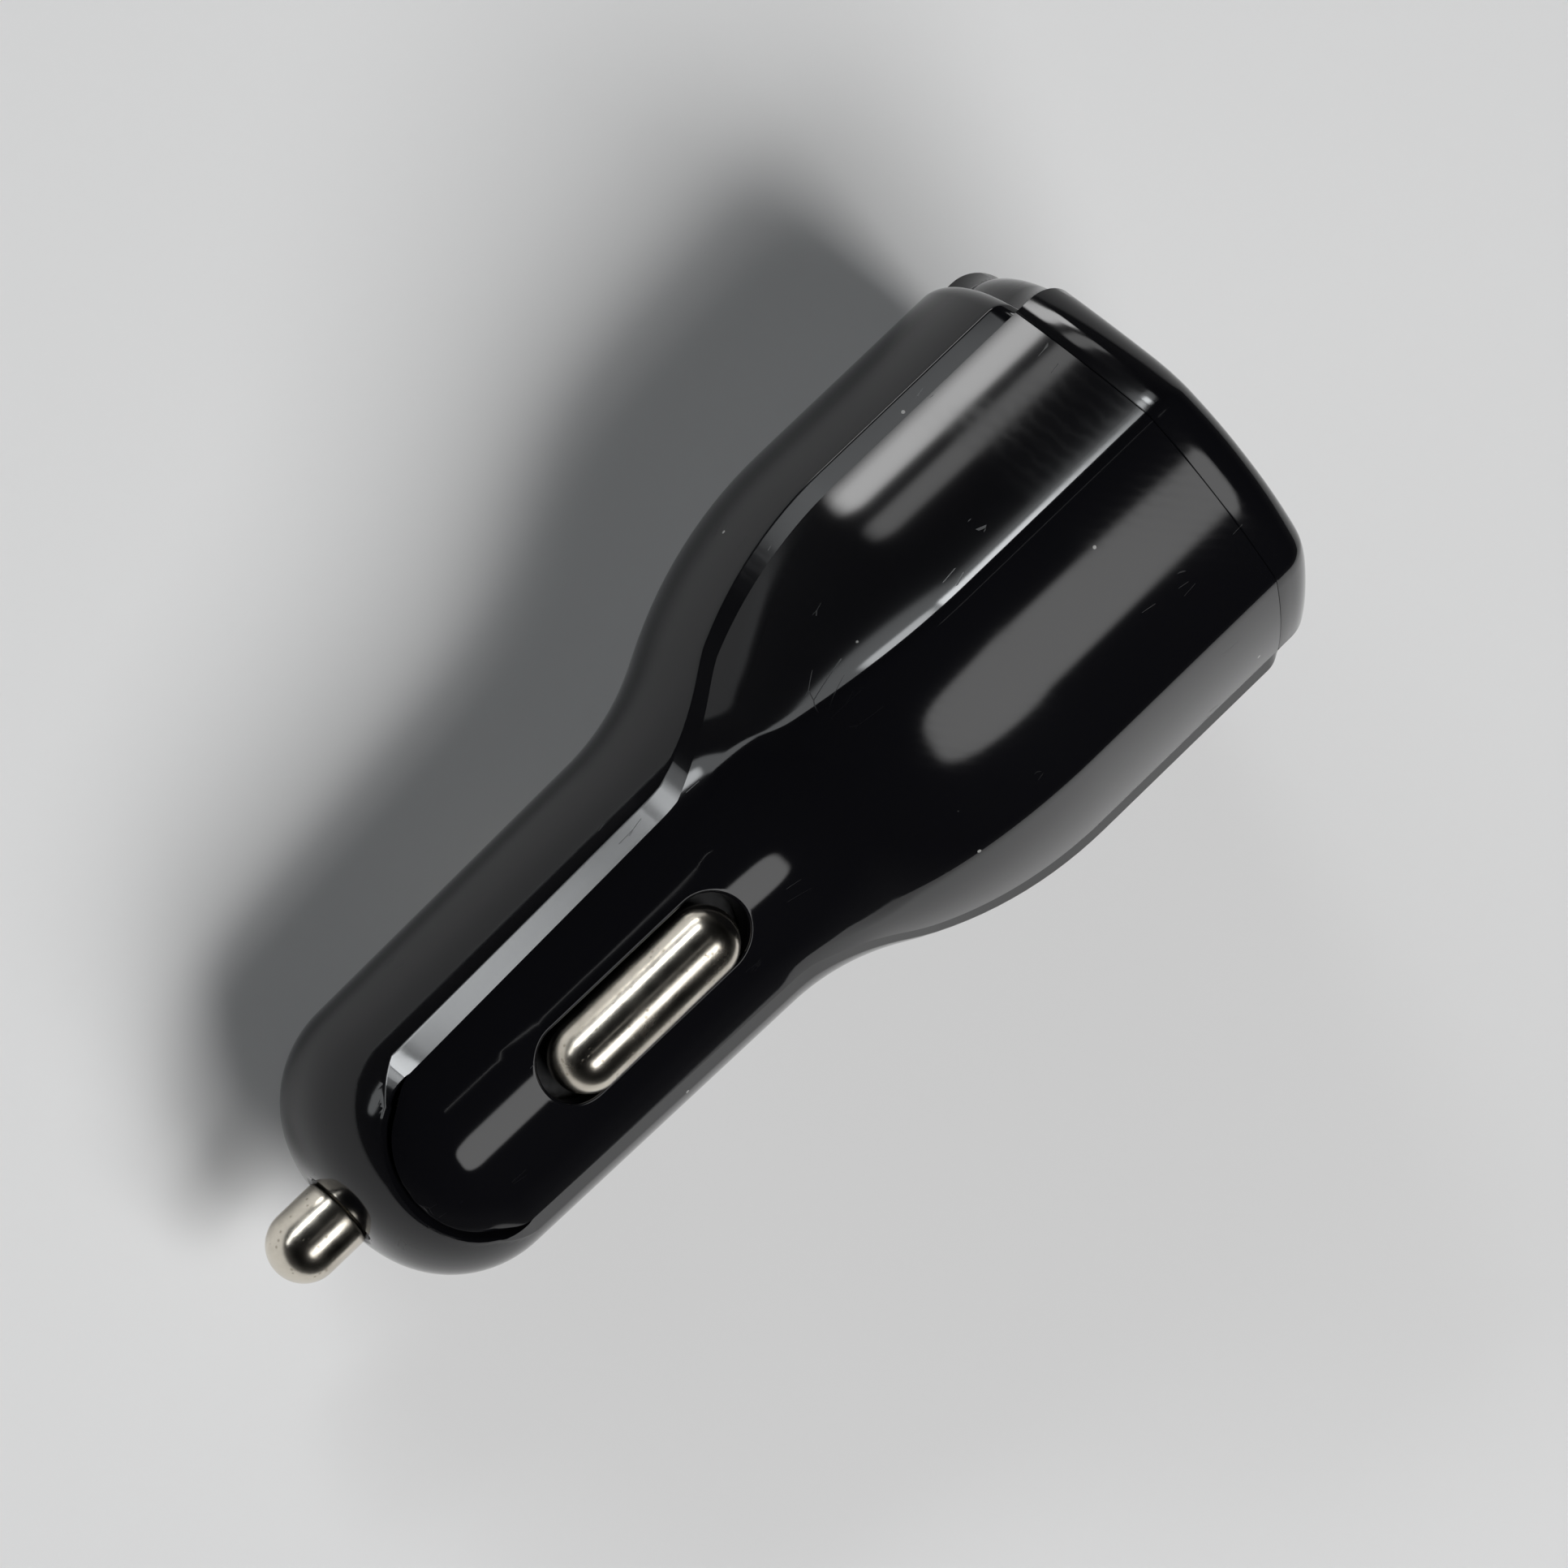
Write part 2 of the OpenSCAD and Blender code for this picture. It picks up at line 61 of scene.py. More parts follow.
out_x = -Vector(slides["upper_contact_press"]["axis"])
to_pin = -Vector(slides["centre_pin_press"]["axis"])
across = to_pin.cross(out_x)
turned = Matrix((out_x, across, to_pin)).transposed().to_4x4()
as_it_lies = (
    Matrix.Translation(Vector(mounts["port_face"]["pos_m"])) @ turned @ Matrix.Scale(MM, 4)
)


def lay(bm, name, material, body, replaced=(), sharp=24):
    """Makes a piece of the upright mesh: laid down, shaded smooth, and riding."""
    bmesh.ops.remove_doubles(bm, verts=bm.verts, dist=0.0005)
    bmesh.ops.recalc_face_normals(bm, faces=bm.faces)
    bmesh.ops.transform(bm, matrix=as_it_lies, verts=bm.verts)
    mesh = bpy.data.meshes.new(name)
    bm.to_mesh(mesh)
    bm.free()
    mesh.shade_smooth()
    mesh.set_sharp_from_angle(angle=radians(sharp))
    mesh.materials.append(material)
    piece = bpy.data.objects.new(name, mesh)
    bpy.context.scene.collection.objects.link(piece)
    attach(piece, body)
    if replaced:
        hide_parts(*replaced)
    return piece


def wall(piece, thick, edge=0.0, segments=3):
    """Gives an open skin a wall inwards, with its edges broken."""
    solid = piece.modifiers.new("wall", "SOLIDIFY")
    solid.thickness = thick * MM
    solid.offset = -1
    if not edge:
        return
    rounding = piece.modifiers.new("edges", "BEVEL")
    rounding.width = edge * MM
    rounding.segments = segments
    rounding.limit_method = "ANGLE"
    rounding.angle_limit = radians(62)
    rounding.harden_normals = True


# Gloss black plastic. The frame, shells and bezel are moulded in black ABS with
# a mirror finish. It carries fine hair scratches, a few specks of dust and
# faint finger marks, which only dull the mirror a little.
def nodes_of(tree):
    """Clears a tree and returns a helper that adds a node and one that links."""
    tree.nodes.clear()

    def add(kind, **values):
        node = tree.nodes.new(kind)
        for key, value in values.items():
            if hasattr(node, key):
                setattr(node, key, value)
            else:
                node.inputs[key.replace("_", " ")].default_value = value
        return node

    def link(a, out, b, into):
        tree.links.new(a.outputs[out], b.inputs[into])

    return add, link


def group(name, inputs, outputs):
    """An empty shader group with number inputs and outputs."""
    tree = bpy.data.node_groups.new(name, "ShaderNodeTree")
    for label, value in inputs.items():
        socket = tree.interface.new_socket(label, in_out="INPUT", socket_type="NodeSocketFloat")
        socket.default_value = value
    for label in outputs:
        tree.interface.new_socket(label, in_out="OUTPUT", socket_type="NodeSocketFloat")
    return tree


def finger_marks():
    """Smears of skin oil: wide soft patches with fine ridges inside them."""
    tree = group("finger marks", {"Size": 90.0, "Amount": 0.5}, ["Mask"])
    add, link = nodes_of(tree)
    given = add("NodeGroupInput")
    result = add("NodeGroupOutput")
    place = add("ShaderNodeTexCoord")
    patch = add("ShaderNodeTexNoise", Detail=3.0, Roughness=0.55)
    link(place, "Object", patch, "Vector")
    link(given, "Size", patch, "Scale")
    patch_edge = add("ShaderNodeMapRange", From_Min=0.5, From_Max=0.68)
    link(patch, 0, patch_edge, "Value")
    ridges = add("ShaderNodeTexWave", bands_direction="DIAGONAL", Scale=560.0, Distortion=3.0,
                 Detail=1.0, Detail_Scale=2.0)
    link(place, "Object", ridges, "Vector")
    ridge_edge = add("ShaderNodeMapRange", From_Min=0.3, From_Max=0.9, To_Min=0.6, To_Max=1.0)
    link(ridges, 1, ridge_edge, "Value")
    both = add("ShaderNodeMath", operation="MULTIPLY")
    link(patch_edge, 0, both, 0)
    link(ridge_edge, 0, both, 1)
    scaled = add("ShaderNodeMath", operation="MULTIPLY")
    link(both, 0, scaled, 0)
    link(given, "Amount", scaled, 1)
    link(scaled, 0, result, "Mask")
    return tree


def specks():
    """Sparse round specks: the near cells of a Voronoi, thinned by a coarse noise."""
    tree = group("specks", {"Scale": 900.0, "Radius": 0.12, "Share": 0.6}, ["Mask"])
    add, link = nodes_of(tree)
    given = add("NodeGroupInput")
    result = add("NodeGroupOutput")
    place = add("ShaderNodeTexCoord")
    cells = add("ShaderNodeTexVoronoi")
    link(place, "Object", cells, "Vector")
    link(given, "Scale", cells, "Scale")
    near = add("ShaderNodeMath", operation="LESS_THAN")
    link(cells, "Distance", near, 0)
    link(given, "Radius", near, 1)
    tint = add("ShaderNodeSeparateColor")
    link(cells, "Color", tint, 0)
    few = add("ShaderNodeMath", operation="GREATER_THAN")
    link(tint, 0, few, 0)
    link(given, "Share", few, 1)
    both = add("ShaderNodeMath", operation="MULTIPLY")
    link(near, 0, both, 0)
    link(few, 0, both, 1)
    link(both, 0, result, "Mask")
    return tree


def hairlines():
    """Fine scratches along the plug, as on a thing that slides in and out of a socket."""
    tree = group("hairlines", {"Scale": 60.0, "Width": 0.02, "Slant": 0.0}, ["Mask"])
    add, link = nodes_of(tree)
    given = add("NodeGroupInput")
    result = add("NodeGroupOutput")
    place = add("ShaderNodeTexCoord")
    stretch = add("ShaderNodeMapping")
    stretch.inputs["Scale"].default_value = (1.0, 9.0, 9.0)
    turn = add("ShaderNodeCombineXYZ")
    link(given, "Slant", turn, "Y")
    link(turn, 0, stretch, "Rotation")
    link(place, "Object", stretch, "Vector")
    lines = add("ShaderNodeTexVoronoi", feature="DISTANCE_TO_EDGE")
    link(stretch, 0, lines, "Vector")
    link(given, "Scale", lines, "Scale")
    thin = add("ShaderNodeMath", operation="LESS_THAN")
    link(lines, "Distance", thin, 0)
    link(given, "Width", thin, 1)
    parts = add("ShaderNodeTexNoise", Scale=240.0, Detail=2.0)
    link(place, "Object", parts, "Vector")
    broken = add("ShaderNodeMath", operation="GREATER_THAN")
    broken.inputs[1].default_value = 0.66
    link(parts, 0, broken, 0)
    both = add("ShaderNodeMath", operation="MULTIPLY")
    link(thin, 0, both, 0)
    link(broken, 0, both, 1)
    link(both, 0, result, "Mask")
    return tree


FINGERS = finger_marks()
SPECKS = specks()
HAIRLINES = hairlines()


def principled(name, color, roughness, metallic=0.0, ior=1.5):
    """A material with its shader; returns it with the helpers to add and link nodes."""
    material = bpy.data.materials.new(name)
    material.use_nodes = True
    add, link = nodes_of(material.node_tree)
    shader = add("ShaderNodeBsdfPrincipled", Metallic=metallic, IOR=ior, Roughness=roughness)
    shader.inputs["Base Color"].default_value = (*color, 1.0)
    surface = add("ShaderNodeOutputMaterial")
    link(shader, 0, surface, 0)
    return material, shader, add, link


def use(add, tree, **values):
    node = add("ShaderNodeGroup", node_tree=tree)
    for key, value in values.items():
        node.inputs[key].default_value = value
    return node


def black_plastic(name, polish, marks):
    """Black plastic; polish is its plain roughness and marks how far it is soiled."""
    material, shader, add, link = principled(name, (0.004, 0.004, 0.005), polish, ior=1.45)
    fingers = use(add, FINGERS, Size=70.0, Amount=marks)
    dust = use(add, SPECKS, Scale=420.0, Radius=0.055, Share=0.86)
    scratch = use(add, HAIRLINES, Scale=70.0, Width=0.012, Slant=0.16)
    tone = add("ShaderNodeMix", data_type="RGBA")
    tone.inputs[6].default_value = (0.004, 0.004, 0.005, 1)
    tone.inputs[7].default_value = (0.30, 0.30, 0.29, 1)
    link(dust, 0, tone, 0)
    link(tone, 2, shader, "Base Color")
    dull = add("ShaderNodeMath", operation="MULTIPLY_ADD")
    dull.inputs[1].default_value = 0.16
    dull.inputs[2].default_value = polish
    link(fingers, 0, dull, 0)
    duller = add("ShaderNodeMath", operation="MULTIPLY_ADD")
    duller.inputs[1].default_value = 0.22
    link(scratch, 0, duller, 0)
    link(dull, 0, duller, 2)
    link(duller, 0, shader, "Roughness")
    wave = add("ShaderNodeTexNoise", Scale=55.0, Detail=1.0)
    place = add("ShaderNodeTexCoord")
    link(place, "Object", wave, "Vector")
    height = add("ShaderNodeMath", operation="MULTIPLY_ADD")
    height.inputs[1].default_value = -0.02
    link(scratch, 0, height, 0)
    link(wave, 0, height, 2)
    bump = add("ShaderNodeBump", Strength=0.12, Distance=0.0001)
    link(height, 0, bump, "Height")
    link(bump, 0, shader, "Normal")
    return material


BLACK = black_plastic("gloss black plastic", 0.07, 0.35)

# Centre frame. One moulding runs down one side, over the nose and up the other,
# and stands half a millimetre proud of the shells. Its long edges are chamfered
# and its ends are rounded over the bezel; the centre pin comes through its nose.
frame_lo, frame_hi = (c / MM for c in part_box("centre_frame"))
pin_mount = mounts["centre_pin_end"]
PIN_R = pin_mount["dims"]["r_mm"]
HEAD_R = (frame_hi.y - frame_lo.y) / 2
HEAD_STRAIGHT, HEAD_CURVE, NECK_CURVE = 20.0, 30.0, 17.0
NECK_R, TIP_R, NOSE_R = 10.36, 9.95, 7.8
APEX = 72.8
BAND_END, END_CURVE = 3.2, 1.7
SHELL_STEP = 0.5
NOSE_FROM = APEX - NOSE_R
bend = acos((NECK_R + NECK_CURVE - HEAD_R + HEAD_CURVE) / (HEAD_CURVE + NECK_CURVE))
BEND_Z = HEAD_STRAIGHT + HEAD_CURVE * sin(bend)
NECK_Z = HEAD_STRAIGHT + (HEAD_CURVE + NECK_CURVE) * sin(bend)


def frame_r(z):
    """Radius of the frame's outside at a place along the axis, up to the nose."""
    if z < HEAD_STRAIGHT:
        return HEAD_R
    if z < BEND_Z:
        return HEAD_R - HEAD_CURVE + sqrt(HEAD_CURVE**2 - (z - HEAD_STRAIGHT) ** 2)
    if z < NECK_Z:
        return NECK_R + NECK_CURVE - sqrt(NECK_CURVE**2 - (NECK_Z - z) ** 2)
    return NECK_R - (NECK_R - TIP_R) * (z - NECK_Z) / (NOSE_FROM - NECK_Z)


def mix(a, b, t):
    return a + (b - a) * t


def ease(z, low, high):
    t = min(1.0, max(0.0, (z - low) / (high - low)))
    return t * t * (3 - 2 * t)


def flare(z):
    """How far the head's section has closed to the barrel's: 1 on the head, 0 on the barrel."""
    return max(0.0, (frame_r(z) - NECK_R) / (HEAD_R - NECK_R)) if z < NECK_Z else 0.0


def between(z, stops):
    """Straight-line value at z between (place, value) stops."""
    for (za, a), (zb, b) in zip(stops, stops[1:]):
        if z < zb:
            return mix(a, b, max(0.0, (z - za) / (zb - za)))
    return stops[-1][1]


# Half widths of the frame along the axis, at the shell and at the chamfer's top
FOOT_X = [(33, 5.9), (37.5, 6.8), (41, 7.5)]
CHAMFER_END = NOSE_FROM + 2.6
TOP_X = [(33, 4.9), (37.5, 5.75), (41, 6.35), (NOSE_FROM, 6.35), (CHAMFER_END, 7.5)]
FOOT_R_HEAD, FOOT_STEP = 15.75, 0.1
EDGE_SOFT = 0.1
END_FLAT_R, NECK_ROWS, ROUND_STEPS = 13.4, 14, 224


def foot(z, nose_turn=0.0):
    """Point where the frame's chamfer meets the shell, on the +x +y side."""
    x = between(z, FOOT_X)
    t = flare(z)
    r = mix(min(frame_r(z), NECK_R) - FOOT_STEP, FOOT_R_HEAD, t)
    if nose_turn > 0:
        step = mix(FOOT_STEP, SHELL_STEP, ease(nose_turn, 0.0, radians(20)))
        r = TIP_R - NOSE_R + (NOSE_R - step) * cos(nose_turn)
    return x, sqrt(max(0.0, r * r - x * x))


def frame_skin():
    """The frame's outside: a turned skin cut along both edges, which then fold to the shells."""
    bm = bmesh.new()
    outline = [(END_FLAT_R, BAND_END)]
    for i in range(17):
        a = pi / 2 * i / 16
        outline.append(
            (HEAD_R - END_CURVE + END_CURVE * sin(a), BAND_END + END_CURVE * (1 - cos(a)))
        )
    outline += [(HEAD_R, z) for z in (8, 12, 16, HEAD_STRAIGHT)]
    turns = [bend * i / NECK_ROWS for i in range(1, NECK_ROWS + 1)]
    outline += [
        (HEAD_R - HEAD_CURVE + HEAD_CURVE * cos(a), HEAD_STRAIGHT + HEAD_CURVE * sin(a))
        for a in turns
    ]
    outline += [
        (NECK_R + NECK_CURVE - NECK_CURVE * cos(bend - a), NECK_Z - NECK_CURVE * sin(bend - a))
        for a in turns
    ]
    outline += [(frame_r(z), z) for z in (46, 49, 52, 55, 58, 61, 63, NOSE_FROM)]
    outline += [
        (TIP_R - NOSE_R + NOSE_R * cos(pi / 2 * i / 22), NOSE_FROM + NOSE_R * sin(pi / 2 * i / 22))
        for i in range(1, 21)
    ]
    # The hole for the pin
    rim = PIN_R + 0.06
    outline += [(rim + 0.4, APEX - 0.05), (rim + 0.12, APEX - 0.16), (rim, APEX - 0.45)]
    outline += [(rim, APEX - 2.5)]
    last = None
    for r, z in outline:
        vert = bm.verts.new((0, r, z))
        if last:
            bm.edges.new((last, vert))
        last = vert
    bmesh.ops.spin(
        bm, geom=bm.verts[:] + bm.edges[:], cent=(0, 0, 0), axis=(0, 0, 1),
        angle=2 * pi, steps=ROUND_STEPS, use_merge=True,
    )
    bmesh.ops.remove_doubles(bm, verts=bm.verts, dist=0.0005)

    def cut(low, high, at, normal):
        """Cuts the faces whose middle lies between low and high along the axis."""
        faces = [f for f in bm.faces if low < f.calc_center_median().z < high]
        geom = {e for f in faces for e in f.edges} | {v for f in faces for v in f.verts}
        bmesh.ops.bisect_plane(
            bm, geom=faces + list(geom), dist=0.0001, plane_co=at, plane_no=normal,
        )

    stops = [33, 37.5, 41, NOSE_FROM, CHAMFER_END]
    for z in stops:
        cut(-1, 99, (0, 0, z), (0, 0, 1))
    for low, high in zip([-1] + stops, stops + [99]):
        for s in (-1, 1):
            x0, x1 = (between(min(max(z, 33), 80), TOP_X) - EDGE_SOFT for z in (low, high))
            rise = (x1 - x0) / (high - low)
            cut(low, high, (s * x0, 0, low), (s, 0, -rise))
    beyond = []
    for f in bm.faces:
        middle = f.calc_center_median()
        if abs(middle.x) > between(middle.z, TOP_X) - EDGE_SOFT:
            beyond.append(f)
    bmesh.ops.delete(bm, geom=beyond, context="FACES")

    # The cut edges fold over a small rounding and down the chamfer to the shell
    def at_edge(v):
        return abs(v.co.x) > between(v.co.z, TOP_X) - EDGE_SOFT - 0.01

    edges = [e for e in bm.edges if e.is_boundary and all(at_edge(v) for v in e.verts)]
    near = list({v for e in edges for v in e.verts})
    bmesh.ops.remove_doubles(bm, verts=near, dist=0.03)
    edges = [e for e in bm.edges if e.is_boundary and all(at_edge(v) for v in e.verts)]
    rows = {}
    for v in {v for e in edges for v in e.verts}:
        s = 1 if v.co.x > 0 else -1
        t = 1 if v.co.y > 0 else -1
        start, z = v.co.copy(), v.co.z
        r = start.xy.length
        top_x = between(z, TOP_X)
        if z <= NOSE_FROM:
            corner = Vector((s * top_x, t * sqrt(r * r - top_x**2), z))
            low_y = foot(z)[1] if z > 8 else min(foot(8)[1], abs(corner.y) - 0.3)
            end = Vector((s * between(z, FOOT_X), t * low_y, z))
        else:
            tip = atan2(z - NOSE_FROM, r - TIP_R + NOSE_R)
            down = Vector((0, start.y / r * cos(tip), sin(tip))).normalized()
            corner = start + Vector((s * EDGE_SOFT, 0, 0)) - down * EDGE_SOFT * top_x / r
            run = max(0.12, FOOT_X[-1][1] - top_x)
            end = corner + Vector((s * run, 0, 0)) - down * run * 1.1
        chamfer = end - corner
        soft = corner + chamfer * min(0.5, EDGE_SOFT / chamfer.length)
        rows[v] = [
            start * (1 - u) ** 2 + corner * 2 * u * (1 - u) + soft * u * u for u in (0.33, 0.67, 1)
        ] + [soft + (end - soft) * share for share in (0.05, 0.95, 1)]
    while any(rows.values()):
        made = bmesh.ops.extrude_edge_only(bm, edges=edges)["geom"]
        edges = [g for g in made if isinstance(g, bmesh.types.BMEdge)]
        fresh = [g for g in made if isinstance(g, bmesh.types.BMVert)]
        moved = {}
        for v in fresh:
            old = next(e.other_vert(v) for e in v.link_edges if e.other_vert(v) in rows)
            moved[v] = rows[old][1:]
            v.co = rows[old][0]
        rows = moved
    return bm


frame_piece = lay(
    frame_skin(), "frame_moulding", BLACK, "plug", ["centre_frame"], sharp=13
)
wall(frame_piece, 1.4, edge=0.06, segments=2)

# Side shells. Each is a moulded skin that starts as a round barrel and flares to
# a head with one side face and two slanted faces, all slightly crowned, with
# soft creases between them. A slot in the barrel lets the side contact through.
SIDE_FACE = HEAD_R - 0.25
CREASE_R_HEAD, CREASE_Y_HEAD = 16.83, 7.0
CREASE_SOFT = 0.5
SLANT_CROWN_R, NECK_CROWN_R = 60.0, 12.4
SHELL_FROM = 3.85
SHELL_NOSE = NOSE_R - SHELL_STEP
NOSE_TURN = acos((FOOT_X[-1][1] - (TIP_R - NOSE_R)) / SHELL_NOSE)


def section(s, z, nose_turn=0.0):
    """Point of the shell's section; s runs from -1 to 1 between the two feet."""
    t = flare(z)
    ex, ey = foot(z, nose_turn)
    if nose_turn > 0:
        barrel_top = TIP_R - NOSE_R + SHELL_NOSE * cos(nose_turn)
    else:
        barrel_top = min(frame_r(z), NECK_R) - SHELL_STEP
    top = mix(barrel_top, SIDE_FACE, t)
    drop = barrel_top - min(ex, barrel_top - 1e-4)
    panel_r = (ey * ey + drop * drop) / (2 * drop) if t == 0 else NECK_CROWN_R
    if t > 0:
        crease_r = mix(NECK_R - 0.3, CREASE_R_HEAD, t)
        cy = mix(0.8 * ey, CREASE_Y_HEAD, ease(t, 0.0, 0.5))
        cx = sqrt(crease_r**2 - cy**2)
        if t < 0.15:
            round_x = top - panel_r + sqrt(panel_r**2 - cy**2)
            cx = mix(round_x, cx, ease(t, 0.0, 0.15))
    else:
        cy = 0.8 * ey
        cx = top - panel_r + sqrt(max(0.0, panel_r**2 - cy**2))
    sag = top - cx
    side_r = (cy * cy + sag * sag) / (2 * sag) if sag > 1e-6 else 1e6
    half = abs(s)
    chord = Vector((ex - cx, ey - cy))
    length = chord.length
    bow = mix(1 / max(panel_r, 1.0), 1 / SLANT_CROWN_R, t**0.5)
    slant_r = 1 / bow

    def side(u):
        y = cy * u
        return Vector((top - side_r + sqrt(max(0.0, side_r**2 - y * y)), y))

    def slant(u):
        if length < 1e-6:
            return Vector((cx, cy))
        along = chord / length
        out = Vector((-along.y, along.x))
        if out.x < 0 and out.y < 0 or out.dot(Vector((cx, cy))) < 0:
            out = -out
        w = (u - 0.5) * length
        deep = sqrt(max(0.0, slant_r**2 - w * w)) - sqrt(max(0.0, slant_r**2 - length**2 / 4))
        return Vector((cx, cy)) + along * (u * length) + out * deep

    near, far = 0.42, 0.56
    soft_side = min(0.5, CREASE_SOFT / max(cy, 1e-6))
    soft_slant = min(0.5, CREASE_SOFT / max(length, 1e-6))
    if half < near:
        p = side(half / near * (1 - soft_side))
    elif half > far:
        p = slant(soft_slant + (1 - soft_slant) * (half - far) / (1 - far))
    else:
        u = (half - near) / (far - near)
        a, c, b = side(1 - soft_side), Vector((cx, cy)), slant(soft_slant)
        p = a * (1 - u) ** 2 + c * 2 * u * (1 - u) + b * u**2
    return p.x, (p.y if s > 0 else -p.y)


slot_lo, slot_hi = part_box("ground_contact_upper")
contact_mid = as_it_lies.inverted() @ ((slot_lo + slot_hi) / 2)
SLOT_AT, SLOT_LEN, SLOT_WIDTH = contact_mid.z, 16.9, 5.3


def slot_ring(angle, grow):
    """Point of the slot's outline, in (y, z), grown by an amount."""
    half = (SLOT_LEN - SLOT_WIDTH) / 2
    r = SLOT_WIDTH / 2 + grow
    y, z = r * sin(angle), r * cos(angle)
    return y, SLOT_AT + z + (half if cos(angle) > 0 else -half)


def shell_skin():
    """One shell's outside: a grid bent to its sections, with the contact's slot let in."""
    bm = bmesh.new()
    columns, rows, split = 72, 150, 0.8
    bmesh.ops.create_grid(bm, x_segments=columns, y_segments=rows, size=1)
    for v in bm.verts:
        s, along = v.co.x, (v.co.y + 1) / 2
        if along < split:
            z = mix(SHELL_FROM, NOSE_FROM, along / split)
            v.co = (*section(s, z), z)
        else:
            turn = NOSE_TURN * (along - split) / (1 - split)
            z = NOSE_FROM + SHELL_NOSE * sin(turn)
            v.co = (*section(s, NOSE_FROM, turn), z)
    # Opening for the contact: a window in the grid, bridged to the slot's outline
    middles = {f: f.calc_center_median() for f in bm.faces}
    inside = [
        f for f, middle in middles.items()
        if abs(middle.y) < SLOT_WIDTH / 2 + 1.0
        and abs(middle.z - SLOT_AT) < SLOT_LEN / 2 + 1.0
        and middle.x > 0
    ]
    bmesh.ops.delete(bm, geom=inside, context="FACES")
    window = [
        e for e in bm.edges
        if e.is_boundary
        and abs(e.verts[0].co.y) < 5
        and abs(e.verts[0].co.z - SLOT_AT) < 11
        and abs(e.verts[1].co.z - SLOT_AT) < 11
    ]

    def on_barrel(y, z, sink=0.0):
        ex, ey = foot(z)
        top = frame_r(z) - SHELL_STEP
        panel_r = (ey * ey + (top - ex) ** 2) / (2 * (top - ex))
        return Vector((top - panel_r + sqrt(panel_r**2 - y * y) - sink, y, z))

    count = 72
    ring = []
    for i in range(count):
        y, z = slot_ring(2 * pi * (i + 0.5) / count, 0.36)
        ring.append(bm.verts.new(on_barrel(y, z)))
    rim = [bm.edges.new((ring[i], ring[(i + 1) % count])) for i in range(count)]
    bmesh.ops.bridge_loops(bm, edges=window + rim)
    for grow, sink in ((0.22, 0.0), (0.13, 0.02), (0.04, 0.1), (0.0, 0.22), (0.0, 2.2)):
        made = bmesh.ops.extrude_edge_only(bm, edges=rim)["geom"]
        rim = [g for g in made if isinstance(g, bmesh.types.BMEdge)]
        verts = [g for g in made if isinstance(g, bmesh.types.BMVert)]
        for v in verts:
            # Each corner of the ring keeps its own angle round the slot
            half = (SLOT_LEN - SLOT_WIDTH) / 2
            dz = v.co.z - SLOT_AT
            angle = atan2(v.co.y, dz - (half if dz > 0 else -half))
            v.co = on_barrel(*slot_ring(angle, grow), sink)
    return bm


for name, node, half_turn in (
    ("shell_upper", "side_shell_upper", 0.0),
    ("shell_lower", "side_shell_lower", pi),
):
    skin = shell_skin()
    bmesh.ops.rotate(skin, verts=skin.verts, matrix=Matrix.Rotation(half_turn, 3, "Z"))
    shell = lay(skin, name, BLACK, "plug", [node], sharp=35)
    wall(shell, 1.1, edge=0.1)

# Front bezel. A cap over the front end: it carries on the faces of the shells
# behind a thin seam, rounds over to the flat port face and has the openings of
# the two ports. Under the ends of the frame it is set back.
BEZEL_FRONT_R, CREASE_END_R, UNDER_FRAME_R = 2.6, 16.15, 14.75
PORT_PITCH = (
    Vector(mounts["usb_port_1"]["pos_m"]) - Vector(mounts["usb_port_2"]["pos_m"])
).length / MM
PORT_WIDTH, PORT_HEIGHT = 13.3, 5.9


def bezel_loop():
    """Outline of the bezel at its seam, all the way round."""
    side = 40
    upper = [section(-1 + 2 * i / side, SHELL_FROM) for i in range(side + 1)]
    ex = upper[-1][0]
    under = [mix(ex, -ex, i / 8) for i in range(1, 8)]
    loop = upper + [(x, sqrt(UNDER_FRAME_R**2 - x * x)) for x in under]
    return loop + [(-x, -y) for x, y in loop]


def bezel_body():
    """The cap, drawn ring by ring from its skirt to the port face."""
    bm = bmesh.new()
    loop = [Vector((x, y, 0)) for x, y in bezel_loop()]
    verts = [bm.verts.new(p) for p in loop]
    edges = [bm.edges.new((verts[i - 1], verts[i])) for i in range(len(verts))]
    # From inside the shells, over the seam and the rounded front to the port face
    steps = [(0.9, 7.0), (0.9, SHELL_FROM - 0.02), (0.14, SHELL_FROM - 0.03)]
    steps += [(0.04, SHELL_FROM - 0.08), (0.0, SHELL_FROM - 0.2), (0.0, BEZEL_FRONT_R + 0.3)]
    steps += [
        (BEZEL_FRONT_R * (1 - cos(pi / 2 * i / 12)), BEZEL_FRONT_R * (1 - sin(pi / 2 * i / 12)))
        for i in range(13)
    ]
    for number, (shrink, z) in enumerate(steps):
        if number:
            made = bmesh.ops.extrude_edge_only(bm, edges=edges)["geom"]
            edges = [g for g in made if isinstance(g, bmesh.types.BMEdge)]
            ring = [g for g in made if isinstance(g, bmesh.types.BMVert)]
        else:
            ring = verts
        for v in ring:
            # Each corner keeps its direction from the axis
            start = max(loop, key=lambda p: p.xy.normalized().dot(v.co.xy.normalized()))
            reach = start.xy.length
            # The creases run out in the rounded edge
            crease = max(0.0, reach - CREASE_END_R) * min(1.0, shrink / BEZEL_FRONT_R)
            v.co = Vector((*(start.xy * (1 - (shrink + crease) / reach)), z))
    bmesh.ops.contextual_create(bm, geom=edges)
    return bm


